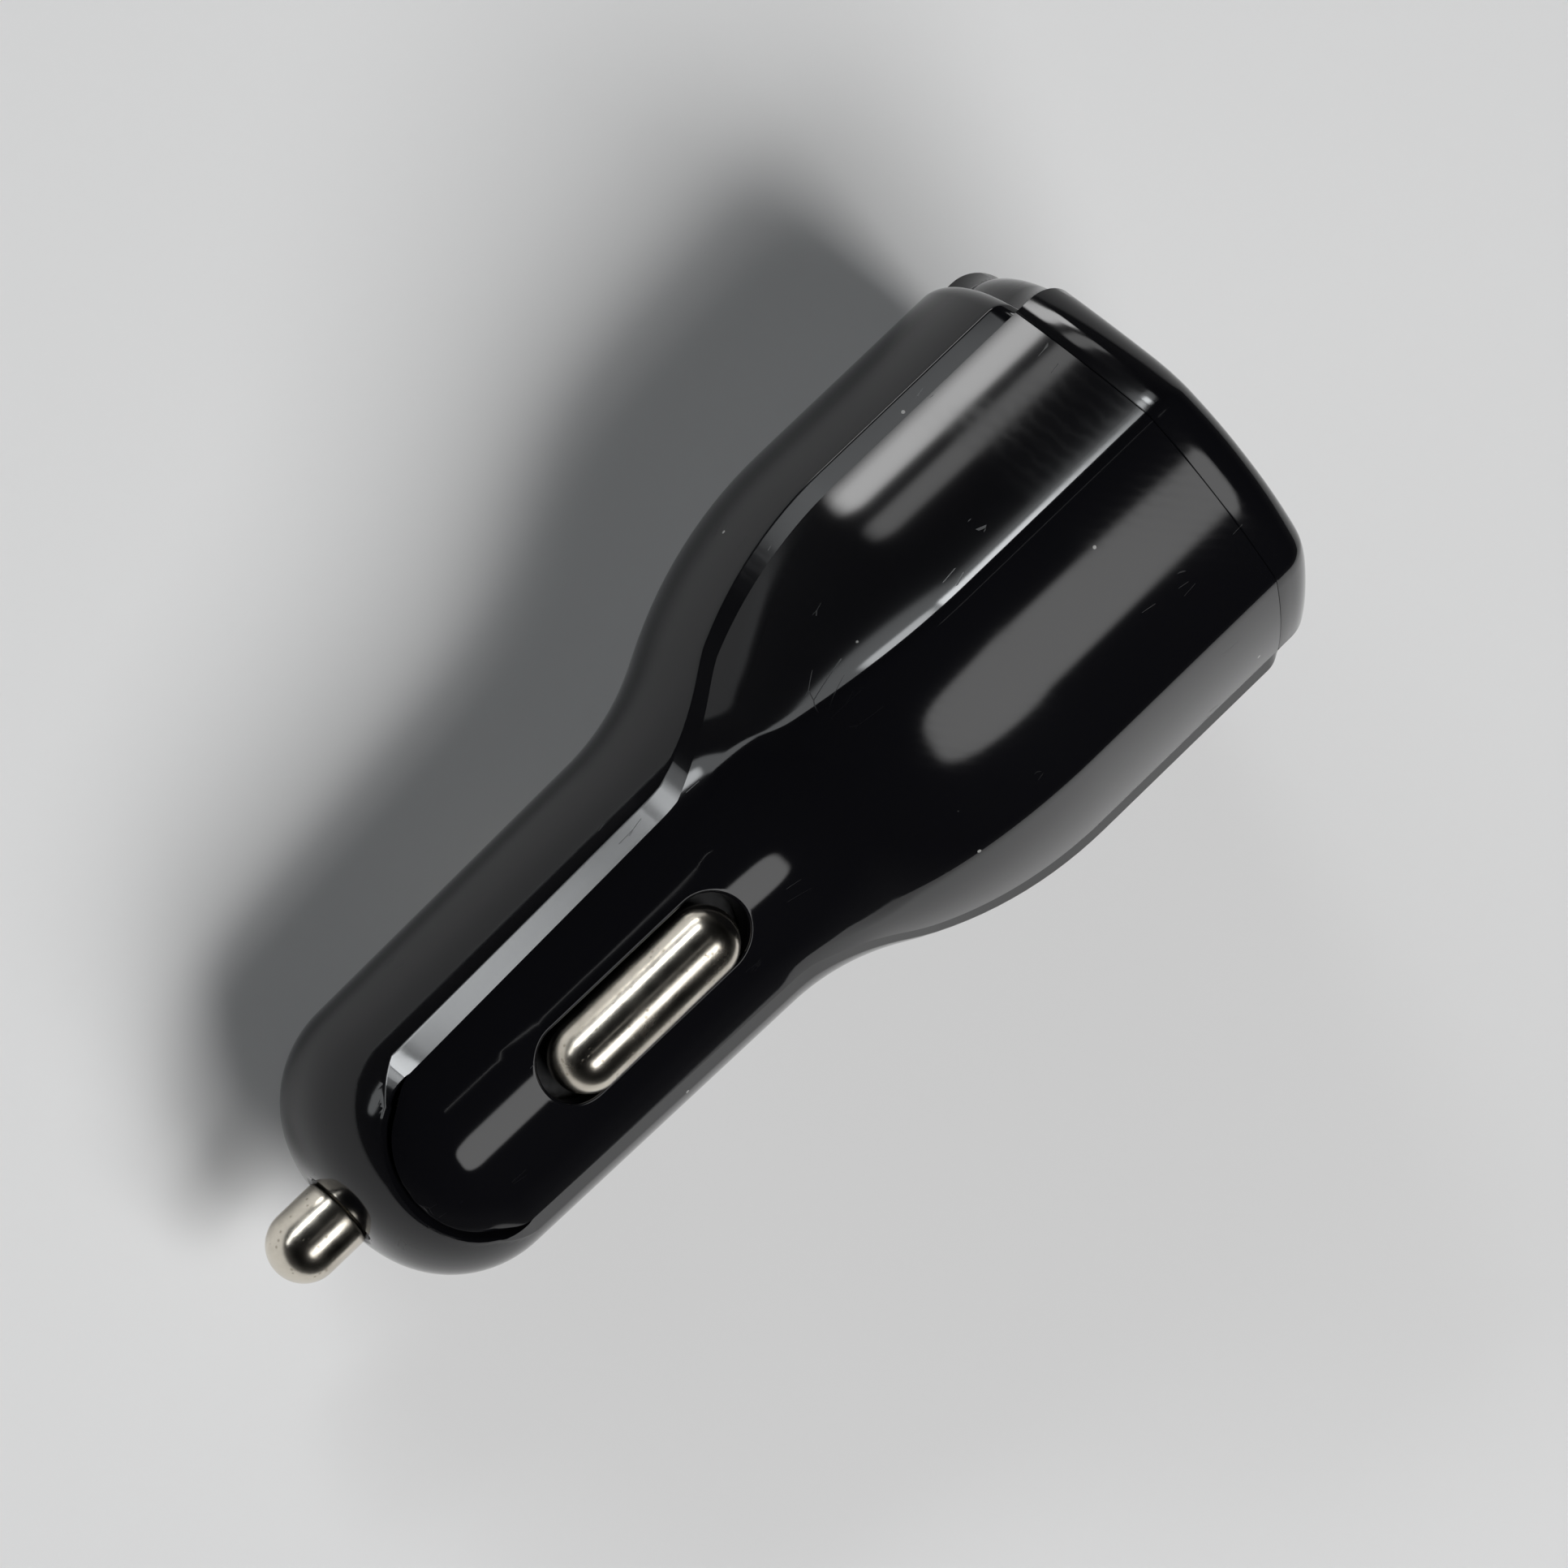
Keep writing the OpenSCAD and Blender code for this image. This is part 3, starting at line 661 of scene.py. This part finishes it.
def port_cutter():
    """A rounded bar through each port opening."""
    bm = bmesh.new()
    for s in (-1, 1):
        cube = bmesh.ops.create_cube(bm, size=1)["verts"]
        bmesh.ops.scale(bm, verts=cube, vec=(PORT_WIDTH, PORT_HEIGHT, 8))
        sides = [
            e for e in bm.edges
            if all(v in cube for v in e.verts) and abs(e.verts[0].co.z - e.verts[1].co.z) > 1
        ]
        rounded = bmesh.ops.bevel(
            bm, geom=sides, offset=0.5, offset_type="OFFSET", affect="EDGES", segments=4,
            profile=0.5, material=-1,
        )["verts"]
        bar = list({v for v in rounded} | {v for v in cube if v.is_valid})
        bmesh.ops.translate(bm, verts=bar, vec=(0, s * PORT_PITCH / 2, 0))
    return bm


bezel = lay(bezel_body(), "bezel", BLACK, "plug", ["front_bezel"], sharp=35)
cutter = lay(port_cutter(), "port_cutter", BLACK, "plug")
opening = bezel.modifiers.new("openings", "BOOLEAN")
opening.object = cutter
opening.solver = "EXACT"
bpy.context.view_layer.update()
whole = bpy.data.meshes.new_from_object(
    bezel.evaluated_get(bpy.context.evaluated_depsgraph_get())
)
bezel.modifiers.clear()
bezel.data = whole
bpy.data.objects.remove(cutter)
edges_round = bezel.modifiers.new("edges", "BEVEL")
edges_round.width, edges_round.segments = 0.15 * MM, 3
edges_round.limit_method, edges_round.angle_limit = "ANGLE", radians(60)

# Centre pin. Turned brass with a dull nickel plate: a shank with a round end, a
# waist where it enters the nose and a collar that holds it in.
def plated(name, color, roughness):
    """Nickel plate: a warm metal with fine pits and a few stains."""
    material, shader, add, link = principled(name, color, roughness, metallic=1.0)
    pits = use(add, SPECKS, Scale=2600.0, Radius=0.26, Share=0.72)
    place = add("ShaderNodeTexCoord")
    cloud = add("ShaderNodeTexNoise", Scale=420.0, Detail=4.0, Roughness=0.6)
    link(place, "Object", cloud, "Vector")
    stain = add("ShaderNodeMapRange", From_Min=0.45, From_Max=0.75, To_Min=0.0, To_Max=0.35)
    link(cloud, 0, stain, "Value")
    dark = add("ShaderNodeMath", operation="MAXIMUM")
    link(stain, 0, dark, 0)
    pit_tone = add("ShaderNodeMath", operation="MULTIPLY")
    pit_tone.inputs[1].default_value = 0.55
    link(pits, 0, pit_tone, 0)
    link(pit_tone, 0, dark, 1)
    tone = add("ShaderNodeMix", data_type="RGBA")
    tone.inputs[6].default_value = (*color, 1)
    tone.inputs[7].default_value = (color[0] * 0.35, color[1] * 0.32, color[2] * 0.27, 1)
    link(dark, 0, tone, 0)
    link(tone, 2, shader, "Base Color")
    rough = add("ShaderNodeMapRange", From_Min=0.3, From_Max=0.8, To_Min=roughness,
                To_Max=roughness + 0.14)
    link(cloud, 0, rough, "Value")
    link(rough, 0, shader, "Roughness")
    bump = add("ShaderNodeBump", Strength=0.25, Distance=0.00004)
    height = add("ShaderNodeMath", operation="MULTIPLY_ADD")
    height.inputs[1].default_value = -1.0
    link(pits, 0, height, 0)
    link(cloud, 0, height, 2)
    link(height, 0, bump, "Height")
    link(bump, 0, shader, "Normal")
    return material


NICKEL = plated("nickel plate", (0.74, 0.69, 0.60), 0.17)
PIN_END = APEX + 5.5
TAIL_FROM, COLLAR_FROM, COLLAR_TO, COLLAR_R = 65.6, 68.8, 70.0, 3.4


def spun(outline, steps):
    """A closed turned body from its half outline in (radius, length)."""
    bm = bmesh.new()
    verts = [bm.verts.new((r, 0, z)) for r, z in outline]
    for a, b in zip(verts, verts[1:]):
        bm.edges.new((a, b))
    bmesh.ops.spin(
        bm, geom=bm.verts[:] + bm.edges[:], cent=(0, 0, 0), axis=(0, 0, 1), angle=2 * pi,
        steps=steps, use_merge=True,
    )
    return bm


def pin_body():
    ball_at = PIN_END - PIN_R
    outline = [(0, TAIL_FROM), (PIN_R - 1.2, TAIL_FROM), (PIN_R - 1.2, COLLAR_FROM)]
    outline += [(COLLAR_R, COLLAR_FROM), (COLLAR_R, COLLAR_TO), (PIN_R - 0.2, COLLAR_TO)]
    outline += [(PIN_R - 0.2, APEX - 0.1), (PIN_R - 0.05, APEX + 0.05)]
    outline += [(PIN_R, APEX + 0.2), (PIN_R, APEX + 1.4), (PIN_R, APEX + 2.6)]
    outline += [
        (PIN_R * cos(pi / 2 * i / 18), ball_at + PIN_R * sin(pi / 2 * i / 18))
        for i in range(19)
    ]
    return spun(outline, 96)


lay(pin_body(), "pin", NICKEL, "pin", ["centre_pin"], sharp=30)

# Side contacts. Each is a bar with round ends, drawn from nickel-plated sheet,
# that a bowed strip behind it pushes out through its slot. A flange under the
# shell holds it in; the flange is drawn in matt black as painted shade, so the
# gap round the contact reads dark.
CONTACT_LEN, CONTACT_R, CONTACT_TOP, CONTACT_ASIDE = 15.1, 2.45, 11.75, -0.15
FOOT_TOP, FOOT_THICK = 7.3, 0.5


def matt_black():
    """Black nylon: dull, with a fine moulded grain."""
    material, shader, add, link = principled("matt black nylon", (0.012, 0.012, 0.013), 0.55)
    place = add("ShaderNodeTexCoord")
    grain = add("ShaderNodeTexNoise", Scale=2600.0, Detail=3.0)
    link(place, "Object", grain, "Vector")
    rough = add("ShaderNodeMapRange", From_Min=0.3, From_Max=0.7, To_Min=0.48, To_Max=0.62)
    link(grain, 0, rough, "Value")
    link(rough, 0, shader, "Roughness")
    tone = add("ShaderNodeMix", data_type="RGBA")
    tone.inputs[6].default_value = (0.010, 0.010, 0.011, 1)
    tone.inputs[7].default_value = (0.018, 0.018, 0.019, 1)
    link(grain, 0, tone, 0)
    link(tone, 2, shader, "Base Color")
    bump = add("ShaderNodeBump", Strength=0.3, Distance=0.00003)
    link(grain, 0, bump, "Height")
    link(bump, 0, shader, "Normal")
    return material


MATT_BLACK = matt_black()


def contact_body():
    half = CONTACT_LEN / 2 - CONTACT_R
    turns = [pi / 2 * i / 16 for i in range(17)]
    outline = [(CONTACT_R * sin(a), SLOT_AT - half - CONTACT_R * cos(a)) for a in turns]
    outline += [(CONTACT_R, SLOT_AT + half * t) for t in (-0.5, 0, 0.5)]
    outline += [(CONTACT_R * cos(a), SLOT_AT + half + CONTACT_R * sin(a)) for a in turns]
    bm = spun(outline, 96)
    bmesh.ops.translate(bm, verts=bm.verts, vec=(CONTACT_TOP - CONTACT_R, CONTACT_ASIDE, 0))
    return bm


def shaded_contact_plate():
    """The plate that carries a contact and is wider than its slot, drawn in matt black as painted shade in the gap
    round the contact.
    """
    bm = bmesh.new()
    count = 48
    plate = []
    for i in range(count):
        y, z = slot_ring(2 * pi * (i + 0.5) / count, 0.5)
        plate.append(bm.verts.new((FOOT_TOP, y, z)))
    face = bm.faces.new(plate)
    raised = bmesh.ops.extrude_face_region(bm, geom=[face])["geom"]
    bmesh.ops.translate(
        bm, verts=[g for g in raised if isinstance(g, bmesh.types.BMVert)], vec=(-FOOT_THICK, 0, 0)
    )
    return bm


for name, node, body, half_turn in (
    ("contact_upper", "ground_contact_upper", "upper_contact", 0.0),
    ("contact_lower", "ground_contact_lower", "lower_contact", pi),
):
    turn = Matrix.Rotation(half_turn, 3, "Z")
    bar, shaded_plate = contact_body(), shaded_contact_plate()
    bmesh.ops.rotate(bar, verts=bar.verts, matrix=turn)
    bmesh.ops.rotate(shaded_plate, verts=shaded_plate.verts, matrix=turn)
    lay(bar, name, NICKEL, body, [node], sharp=40)
    # The flange is matt black: painted shade for the gap round the contact.
    lay(shaded_plate, name + "_foot", MATT_BLACK, body, sharp=40)


# Port sockets. Each USB-A socket is a tube folded from tin-plated steel with four
# spring leaves that grip the plug, round a black tongue with four gold contacts.
SOCKET_WIDTH, SOCKET_HEIGHT, SHEET = 13.1, 5.7, 0.3
SOCKET_FROM, SOCKET_TO = 0.3, 15.5
TONGUE_Y, TONGUE_THICK, TONGUE_FROM, BLOCK_FROM = 0.45, 1.84, 1.3, 10.3
CLIP_X, STRIP_X = (-3.1, 3.1), (-3.5, -1, 1, 3.5)


def sheet_metal(name, color, roughness, streak):
    """Plated sheet: a metal with fine drawing streaks and small stains."""
    material, shader, add, link = principled(name, color, roughness, metallic=1.0)
    place = add("ShaderNodeTexCoord")
    stretch = add("ShaderNodeMapping")
    stretch.inputs["Scale"].default_value = (60.0, 1400.0, 1400.0)
    link(place, "Object", stretch, "Vector")
    streaks = add("ShaderNodeTexNoise", Scale=1.0, Detail=3.0)
    link(stretch, 0, streaks, "Vector")
    stains = add("ShaderNodeTexNoise", Scale=300.0, Detail=4.0)
    link(place, "Object", stains, "Vector")
    tone = add("ShaderNodeMix", data_type="RGBA")
    tone.inputs[6].default_value = (*color, 1)
    tone.inputs[7].default_value = (*(c * 0.6 for c in color), 1)
    link(stains, 0, tone, 0)
    link(tone, 2, shader, "Base Color")
    rough = add("ShaderNodeMapRange", From_Min=0.3, From_Max=0.7, To_Min=roughness - 0.06,
                To_Max=roughness + 0.12)
    link(streaks, 0, rough, "Value")
    link(rough, 0, shader, "Roughness")
    bump = add("ShaderNodeBump", Strength=streak, Distance=0.00003)
    link(streaks, 0, bump, "Height")
    link(bump, 0, shader, "Normal")
    return material


TIN = sheet_metal("tin-plated sheet", (0.62, 0.61, 0.58), 0.3, 0.3)
GOLD = sheet_metal("gold flash", (0.83, 0.62, 0.27), 0.24, 0.15)


def bar_of(bm, low, high, rounding, along_z=False):
    """A box between two corners with its edges rounded; along_z rounds only the long ones."""
    cube = bmesh.ops.create_cube(bm, size=1)["verts"]
    low, high = Vector(low), Vector(high)
    bmesh.ops.scale(bm, verts=cube, vec=high - low)
    bmesh.ops.translate(bm, verts=cube, vec=(low + high) / 2)
    edges = {e for v in cube for e in v.link_edges}
    if along_z:
        edges = {e for e in edges if abs(e.verts[0].co.z - e.verts[1].co.z) > 1e-6}
    bmesh.ops.bevel(
        bm, geom=list(edges), offset=rounding, offset_type="OFFSET", affect="EDGES",
        segments=4, profile=0.5, material=-1,
    )


for number, side in ((1, 1), (2, -1)):
    middle = side * PORT_PITCH / 2
    tube = bmesh.new()
    bar_of(
        tube, (-SOCKET_WIDTH / 2, middle - SOCKET_HEIGHT / 2, SOCKET_FROM),
        (SOCKET_WIDTH / 2, middle + SOCKET_HEIGHT / 2, SOCKET_TO), 0.5, along_z=True,
    )
    ends = [f for f in tube.faces if abs(f.normal.z) > 0.9]
    bmesh.ops.delete(tube, geom=ends, context="FACES")
    shell = lay(tube, "socket_%d" % number, TIN, "plug",
                ["usb_shell_%d" % number])
    wall(shell, SHEET, edge=0.08, segments=2)
    leaves = bmesh.new()
    for x in CLIP_X:
        for face in (-1, 1):
            strip = bmesh.ops.create_grid(leaves, x_segments=2, y_segments=14, size=1)["verts"]
            for v in strip:
                t = (v.co.y + 1) / 2
                width = mix(1.05, 0.8, t)
                inner = SOCKET_HEIGHT / 2 - SHEET + 0.02
                swell = 0.5 * sin(pi * min(1.0, t * 1.15)) ** 2
                v.co = (x + v.co.x * width, middle + face * (inner - swell), mix(9.5, 2.2, t))
    spring = lay(leaves, "socket_%d_leaves" % number, TIN, "plug")
    wall(spring, 0.2)
    tongue = bmesh.new()
    half = SOCKET_WIDTH / 2 - SHEET
    bar_of(
        tongue, (-half, middle - SOCKET_HEIGHT / 2 + SHEET, BLOCK_FROM),
        (half, middle + SOCKET_HEIGHT / 2 - SHEET, SOCKET_TO), 0.2,
    )
    bar_of(
        tongue, (0.7 - half, middle + TONGUE_Y, TONGUE_FROM),
        (half - 0.7, middle + TONGUE_Y + TONGUE_THICK, BLOCK_FROM + 1), 0.3,
    )
    lay(tongue, "tongue_%d" % number, MATT_BLACK, "plug",
        ["usb_tongue_%d" % number])
    strips = bmesh.new()
    for x in STRIP_X:
        bar_of(
            strips, (x - 0.5, middle + TONGUE_Y - 0.15, TONGUE_FROM + 0.6),
            (x + 0.5, middle + TONGUE_Y + 0.1, BLOCK_FROM + 0.1), 0.06,
        )
    lay(strips, "contacts_%d" % number, GOLD, "plug", ["usb_contacts_%d" % number])


# Inside parts. The boards and the parts soldered to them keep their solids from
# the frame; each gets the finish that such a part comes with.
def plain_finish(name, light, dark, scale, roughness, metallic=0.0, relief=0.2, bands=0.0):
    """Two tones in a fine noise, with the same noise in the gloss; bands winds it with wire."""
    material, shader, add, link = principled(name, light, roughness, metallic)
    place = add("ShaderNodeTexCoord")
    grain = add("ShaderNodeTexNoise", Scale=scale, Detail=4.0, Roughness=0.6)
    link(place, "Object", grain, "Vector")
    relief_from = grain
    if bands:
        relief_from = add("ShaderNodeTexWave", Scale=bands, Distortion=0.6, Detail=1.0)
        link(place, "Object", relief_from, "Vector")
    tone = add("ShaderNodeMix", data_type="RGBA")
    tone.inputs[6].default_value = (*light, 1)
    tone.inputs[7].default_value = (*dark, 1)
    link(relief_from, "Fac", tone, 0)
    link(tone, 2, shader, "Base Color")
    rough = add("ShaderNodeMapRange", From_Min=0.3, From_Max=0.7, To_Min=roughness - 0.08,
                To_Max=roughness + 0.1)
    link(grain, 0, rough, "Value")
    link(rough, 0, shader, "Roughness")
    bump = add("ShaderNodeBump", Strength=relief, Distance=0.00005)
    link(relief_from, "Fac", bump, "Height")
    link(bump, 0, shader, "Normal")
    return material


inside = {
    plain_finish("green solder mask", (0.02, 0.13, 0.05), (0.03, 0.2, 0.08), 900, 0.3):
        ["port_board", "main_board"],
    plain_finish("shrink sleeve", (0.03, 0.035, 0.08), (0.05, 0.055, 0.11), 500, 0.35):
        ["input_capacitor", "output_capacitor"],
    plain_finish("ferrite", (0.06, 0.055, 0.055), (0.11, 0.1, 0.1), 2500, 0.75, relief=0.6):
        ["inductor_core"],
    plain_finish("enamelled wire", (0.55, 0.2, 0.07), (0.2, 0.06, 0.02), 700, 0.3,
                 metallic=0.8, relief=0.9, bands=900):
        ["inductor_winding"],
    plain_finish("chip epoxy", (0.02, 0.02, 0.022), (0.04, 0.04, 0.04), 4000, 0.6):
        ["converter_chip", "charge_chip", "rectifier_diode"],
    plain_finish("ceramic", (0.75, 0.72, 0.64), (0.6, 0.56, 0.48), 600, 0.5):
        ["fuse"],
    plain_finish("plain brass", (0.7, 0.52, 0.24), (0.5, 0.35, 0.15), 500, 0.35, metallic=1.0):
        ["spring_seat"],
}
for finish, names in inside.items():
    for name in names:
        for place in frame["nodes"][name].material_slots:
            place.material = finish

# Springs. A coil of steel wire round the tail of the pin pushes it out, and a
# bowed bronze strip lies between the main board and each side contact.
COIL_R, WIRE_R, COIL_TURNS = 2.75, 0.25, 6
COIL_FROM, COIL_TO = 61.92, 68.78
LEAF_FROM, LEAF_TO, LEAF_HALF, LEAF_WIDTH, LEAF_THICK = 5.02, 6.78, 8.0, 3.0, 0.25
SPRING_WIRE = plain_finish("spring wire", (0.5, 0.5, 0.5), (0.35, 0.34, 0.33), 1500, 0.32,
                           metallic=1.0)
BRONZE = plain_finish("rolled bronze", (0.62, 0.4, 0.2), (0.42, 0.26, 0.12), 600, 0.34,
                      metallic=1.0)


def coil():
    """A round wire wound round the axis."""
    bm = bmesh.new()
    steps = 24 * COIL_TURNS
    rise = COIL_TO - COIL_FROM - 2 * WIRE_R
    ring = bmesh.ops.create_circle(bm, cap_ends=True, segments=10, radius=WIRE_R)["verts"]
    bmesh.ops.rotate(bm, verts=ring, matrix=Matrix.Rotation(pi / 2, 3, "X"))
    bmesh.ops.translate(bm, verts=ring, vec=(COIL_R, 0, COIL_FROM + WIRE_R))
    swept = bmesh.ops.spin(
        bm, geom=bm.edges[:], axis=(0, 0, 1), dvec=(0, 0, rise / steps), angle=2 * pi * COIL_TURNS,
        steps=steps,
    )["geom_last"]
    bmesh.ops.contextual_create(bm, geom=[g for g in swept if isinstance(g, bmesh.types.BMEdge)])
    return bm


wound = lay(coil(), "pin_coil", SPRING_WIRE, "plug", ["pin_spring"], sharp=50)
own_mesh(wound)


def bowed_strip():
    """A flat strip that bows outwards between its two ends."""
    bm = bmesh.new()
    bmesh.ops.create_grid(bm, x_segments=4, y_segments=32, size=1)
    for v in bm.verts:
        t = v.co.y
        bow = mix(LEAF_TO, LEAF_FROM + LEAF_THICK, t * t)
        v.co = Vector((bow, v.co.x * LEAF_WIDTH / 2, SLOT_AT + t * LEAF_HALF))
    strip = bmesh.ops.extrude_face_region(bm, geom=bm.faces[:])["geom"]
    bmesh.ops.translate(
        bm, verts=[g for g in strip if isinstance(g, bmesh.types.BMVert)],
        vec=(-LEAF_THICK, 0, 0),
    )
    return bm


for side, half_turn in (("upper", 0.0), ("lower", pi)):
    leaf = bowed_strip()
    turn = Matrix.Rotation(half_turn, 3, "Z")
    bmesh.ops.rotate(leaf, verts=leaf.verts, matrix=turn)
    strip = lay(leaf, "contact_%s_spring" % side, BRONZE, "plug",
                ["ground_spring_%s" % side], sharp=50)
    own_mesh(strip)

# Camera. It looks down on the plug from its upper side, a little from the pin's
# end, so that the plug runs from the lower left to the upper right.
AIM = 33.31
VIEW_TURN, VIEW_TILT, ROLL = radians(22), radians(12), radians(43.82)
DISTANCE, LENS, SENSOR = 581.0, 210, 36
toward = (
    out_x * cos(VIEW_TILT) * cos(VIEW_TURN)
    + across * cos(VIEW_TILT) * sin(VIEW_TURN)
    + to_pin * sin(VIEW_TILT)
)
along_picture = (-to_pin - toward * (-to_pin).dot(toward)).normalized()
up_picture = toward.cross(along_picture)
right = along_picture * cos(ROLL) - up_picture * sin(ROLL)
up = along_picture * sin(ROLL) + up_picture * cos(ROLL)
camera = bpy.data.objects.new("camera", bpy.data.cameras.new("camera"))
camera.data.lens = LENS
camera.data.sensor_width = SENSOR
camera.data.clip_end = 10
aim = as_it_lies @ Vector((0, 0, AIM))
camera.matrix_world = (
    Matrix.Translation(aim + toward * DISTANCE * MM)
    @ Matrix((right, up, toward)).transposed().to_4x4()
)
bpy.context.scene.collection.objects.link(camera)
bpy.context.scene.camera = camera

# Floor and light. A pale floor in a dark room, with a softbox over the plug, a
# long strip lamp beside it and a bright window low on its far side. A fill
# lights the floor, and the gloss doesn't mirror it.
LIT_FROM = 36.0
floor_material, floor_shader, add, link = principled("floor", (0.8, 0.8, 0.8), 0.9)
floor_shader.inputs["Specular IOR Level"].default_value = 0.0
bm = bmesh.new()
bmesh.ops.create_grid(bm, x_segments=1, y_segments=1, size=6)
floor_mesh = bpy.data.meshes.new("floor")
bm.to_mesh(floor_mesh)
bm.free()
floor_mesh.materials.append(floor_material)
floor = bpy.data.objects.new("floor", floor_mesh)
bpy.context.scene.collection.objects.link(floor)


def lamp(name, round_axis, along, distance, arc, long, radiance, tint=(1, 1, 1), soft=0.5,
         glossy=True):
    """An area lamp facing the plug: placed by its angle round the axis and by how far it
    stands toward the head, wide in degrees of arc, and fading over the outer soft share."""
    turn = radians(round_axis)
    direction = out_x * cos(turn) + across * sin(turn)
    light = bpy.data.lights.new(name, "AREA")
    light.shape = "RECTANGLE"
    light.size, light.size_y = 2 * distance * sin(radians(arc / 2)), long
    light.color = tint
    light.energy = radiance * pi * light.size * light.size_y
    light.use_nodes = True
    add, link = nodes_of(light.node_tree)
    spot = add("ShaderNodeNewGeometry")
    parts = add("ShaderNodeSeparateXYZ")
    link(spot, "Parametric", parts, 0)
    shares = []
    for axis in ("X", "Y"):
        centred = add("ShaderNodeMath", operation="MULTIPLY_ADD")
        centred.inputs[1].default_value, centred.inputs[2].default_value = 2.0, -1.0
        link(parts, axis, centred, 0)
        fourth = add("ShaderNodeMath", operation="POWER")
        fourth.inputs[1].default_value = 4.0
        link(centred, 0, fourth, 0)
        shares.append(fourth)
    rim = add("ShaderNodeMath", operation="ADD")
    link(shares[0], 0, rim, 0)
    link(shares[1], 0, rim, 1)
    fade = add("ShaderNodeMapRange", interpolation_type="SMOOTHSTEP", From_Min=1.0 - soft,
               From_Max=1.0, To_Min=1.0, To_Max=0.0)
    link(rim, 0, fade, "Value")
    glow = add("ShaderNodeEmission")
    link(fade, 0, glow, "Strength")
    out = add("ShaderNodeOutputLight")
    link(glow, 0, out, 0)
    holder = bpy.data.objects.new(name, light)
    at = as_it_lies @ Vector((0, 0, LIT_FROM)) + direction * distance - to_pin * along
    facing = Matrix(((-to_pin).cross(direction), -to_pin, direction)).transposed()
    holder.matrix_world = Matrix.Translation(at) @ facing.to_4x4()
    holder.visible_glossy = glossy
    holder.visible_camera = False
    bpy.context.scene.collection.objects.link(holder)


COOL = (0.95, 0.98, 1.0)
lamp("softbox", -17.5, 0.03, 0.7, 21, 0.5, 3.0)
lamp("strip", 64.6, 0.138, 0.7, 6.0, 0.17, 17.0, COOL, soft=0.9)
lamp("strip_tail", 64.6, -0.03, 0.7, 6.0, 0.28, 9.0, COOL, soft=0.9)
lamp("strip_long", 66.2, -0.16, 0.7, 9.6, 1.0, 2.4, COOL)
lamp("window", 89.2, 0.31, 0.8, 5.2, 0.34, 10.0, soft=0.8)
lamp("window_side", 82.7, 0.31, 0.8, 4.2, 0.34, 2.5, soft=0.8)
lamp("tube", 13.8, 0.14, 0.7, 0.5, 0.24, 2.0)
lamp("fill", -36, 0.0, 1.2, 42, 0.9, 5.2, soft=0.2, glossy=False)

world = bpy.data.worlds.new("room")
bpy.context.scene.world = world
world.use_nodes = True
add, link = nodes_of(world.node_tree)
place = add("ShaderNodeTexCoord")
parts = add("ShaderNodeSeparateXYZ")
link(place, "Generated", parts, 0)
height = add("ShaderNodeMapRange", From_Min=0.0, From_Max=0.45, To_Min=0.12, To_Max=0.0)
link(parts, "Z", height, "Value")
curve = add("ShaderNodeMath", operation="POWER")
curve.inputs[1].default_value = 1.3
link(height, 0, curve, 0)
glow = add("ShaderNodeBackground")
glow.inputs["Color"].default_value = (1, 1, 1, 1)
link(curve, 0, glow, "Strength")
out = add("ShaderNodeOutputWorld")
link(glow, 0, out, 0)

scene = bpy.context.scene
scene.view_settings.view_transform = "Standard"
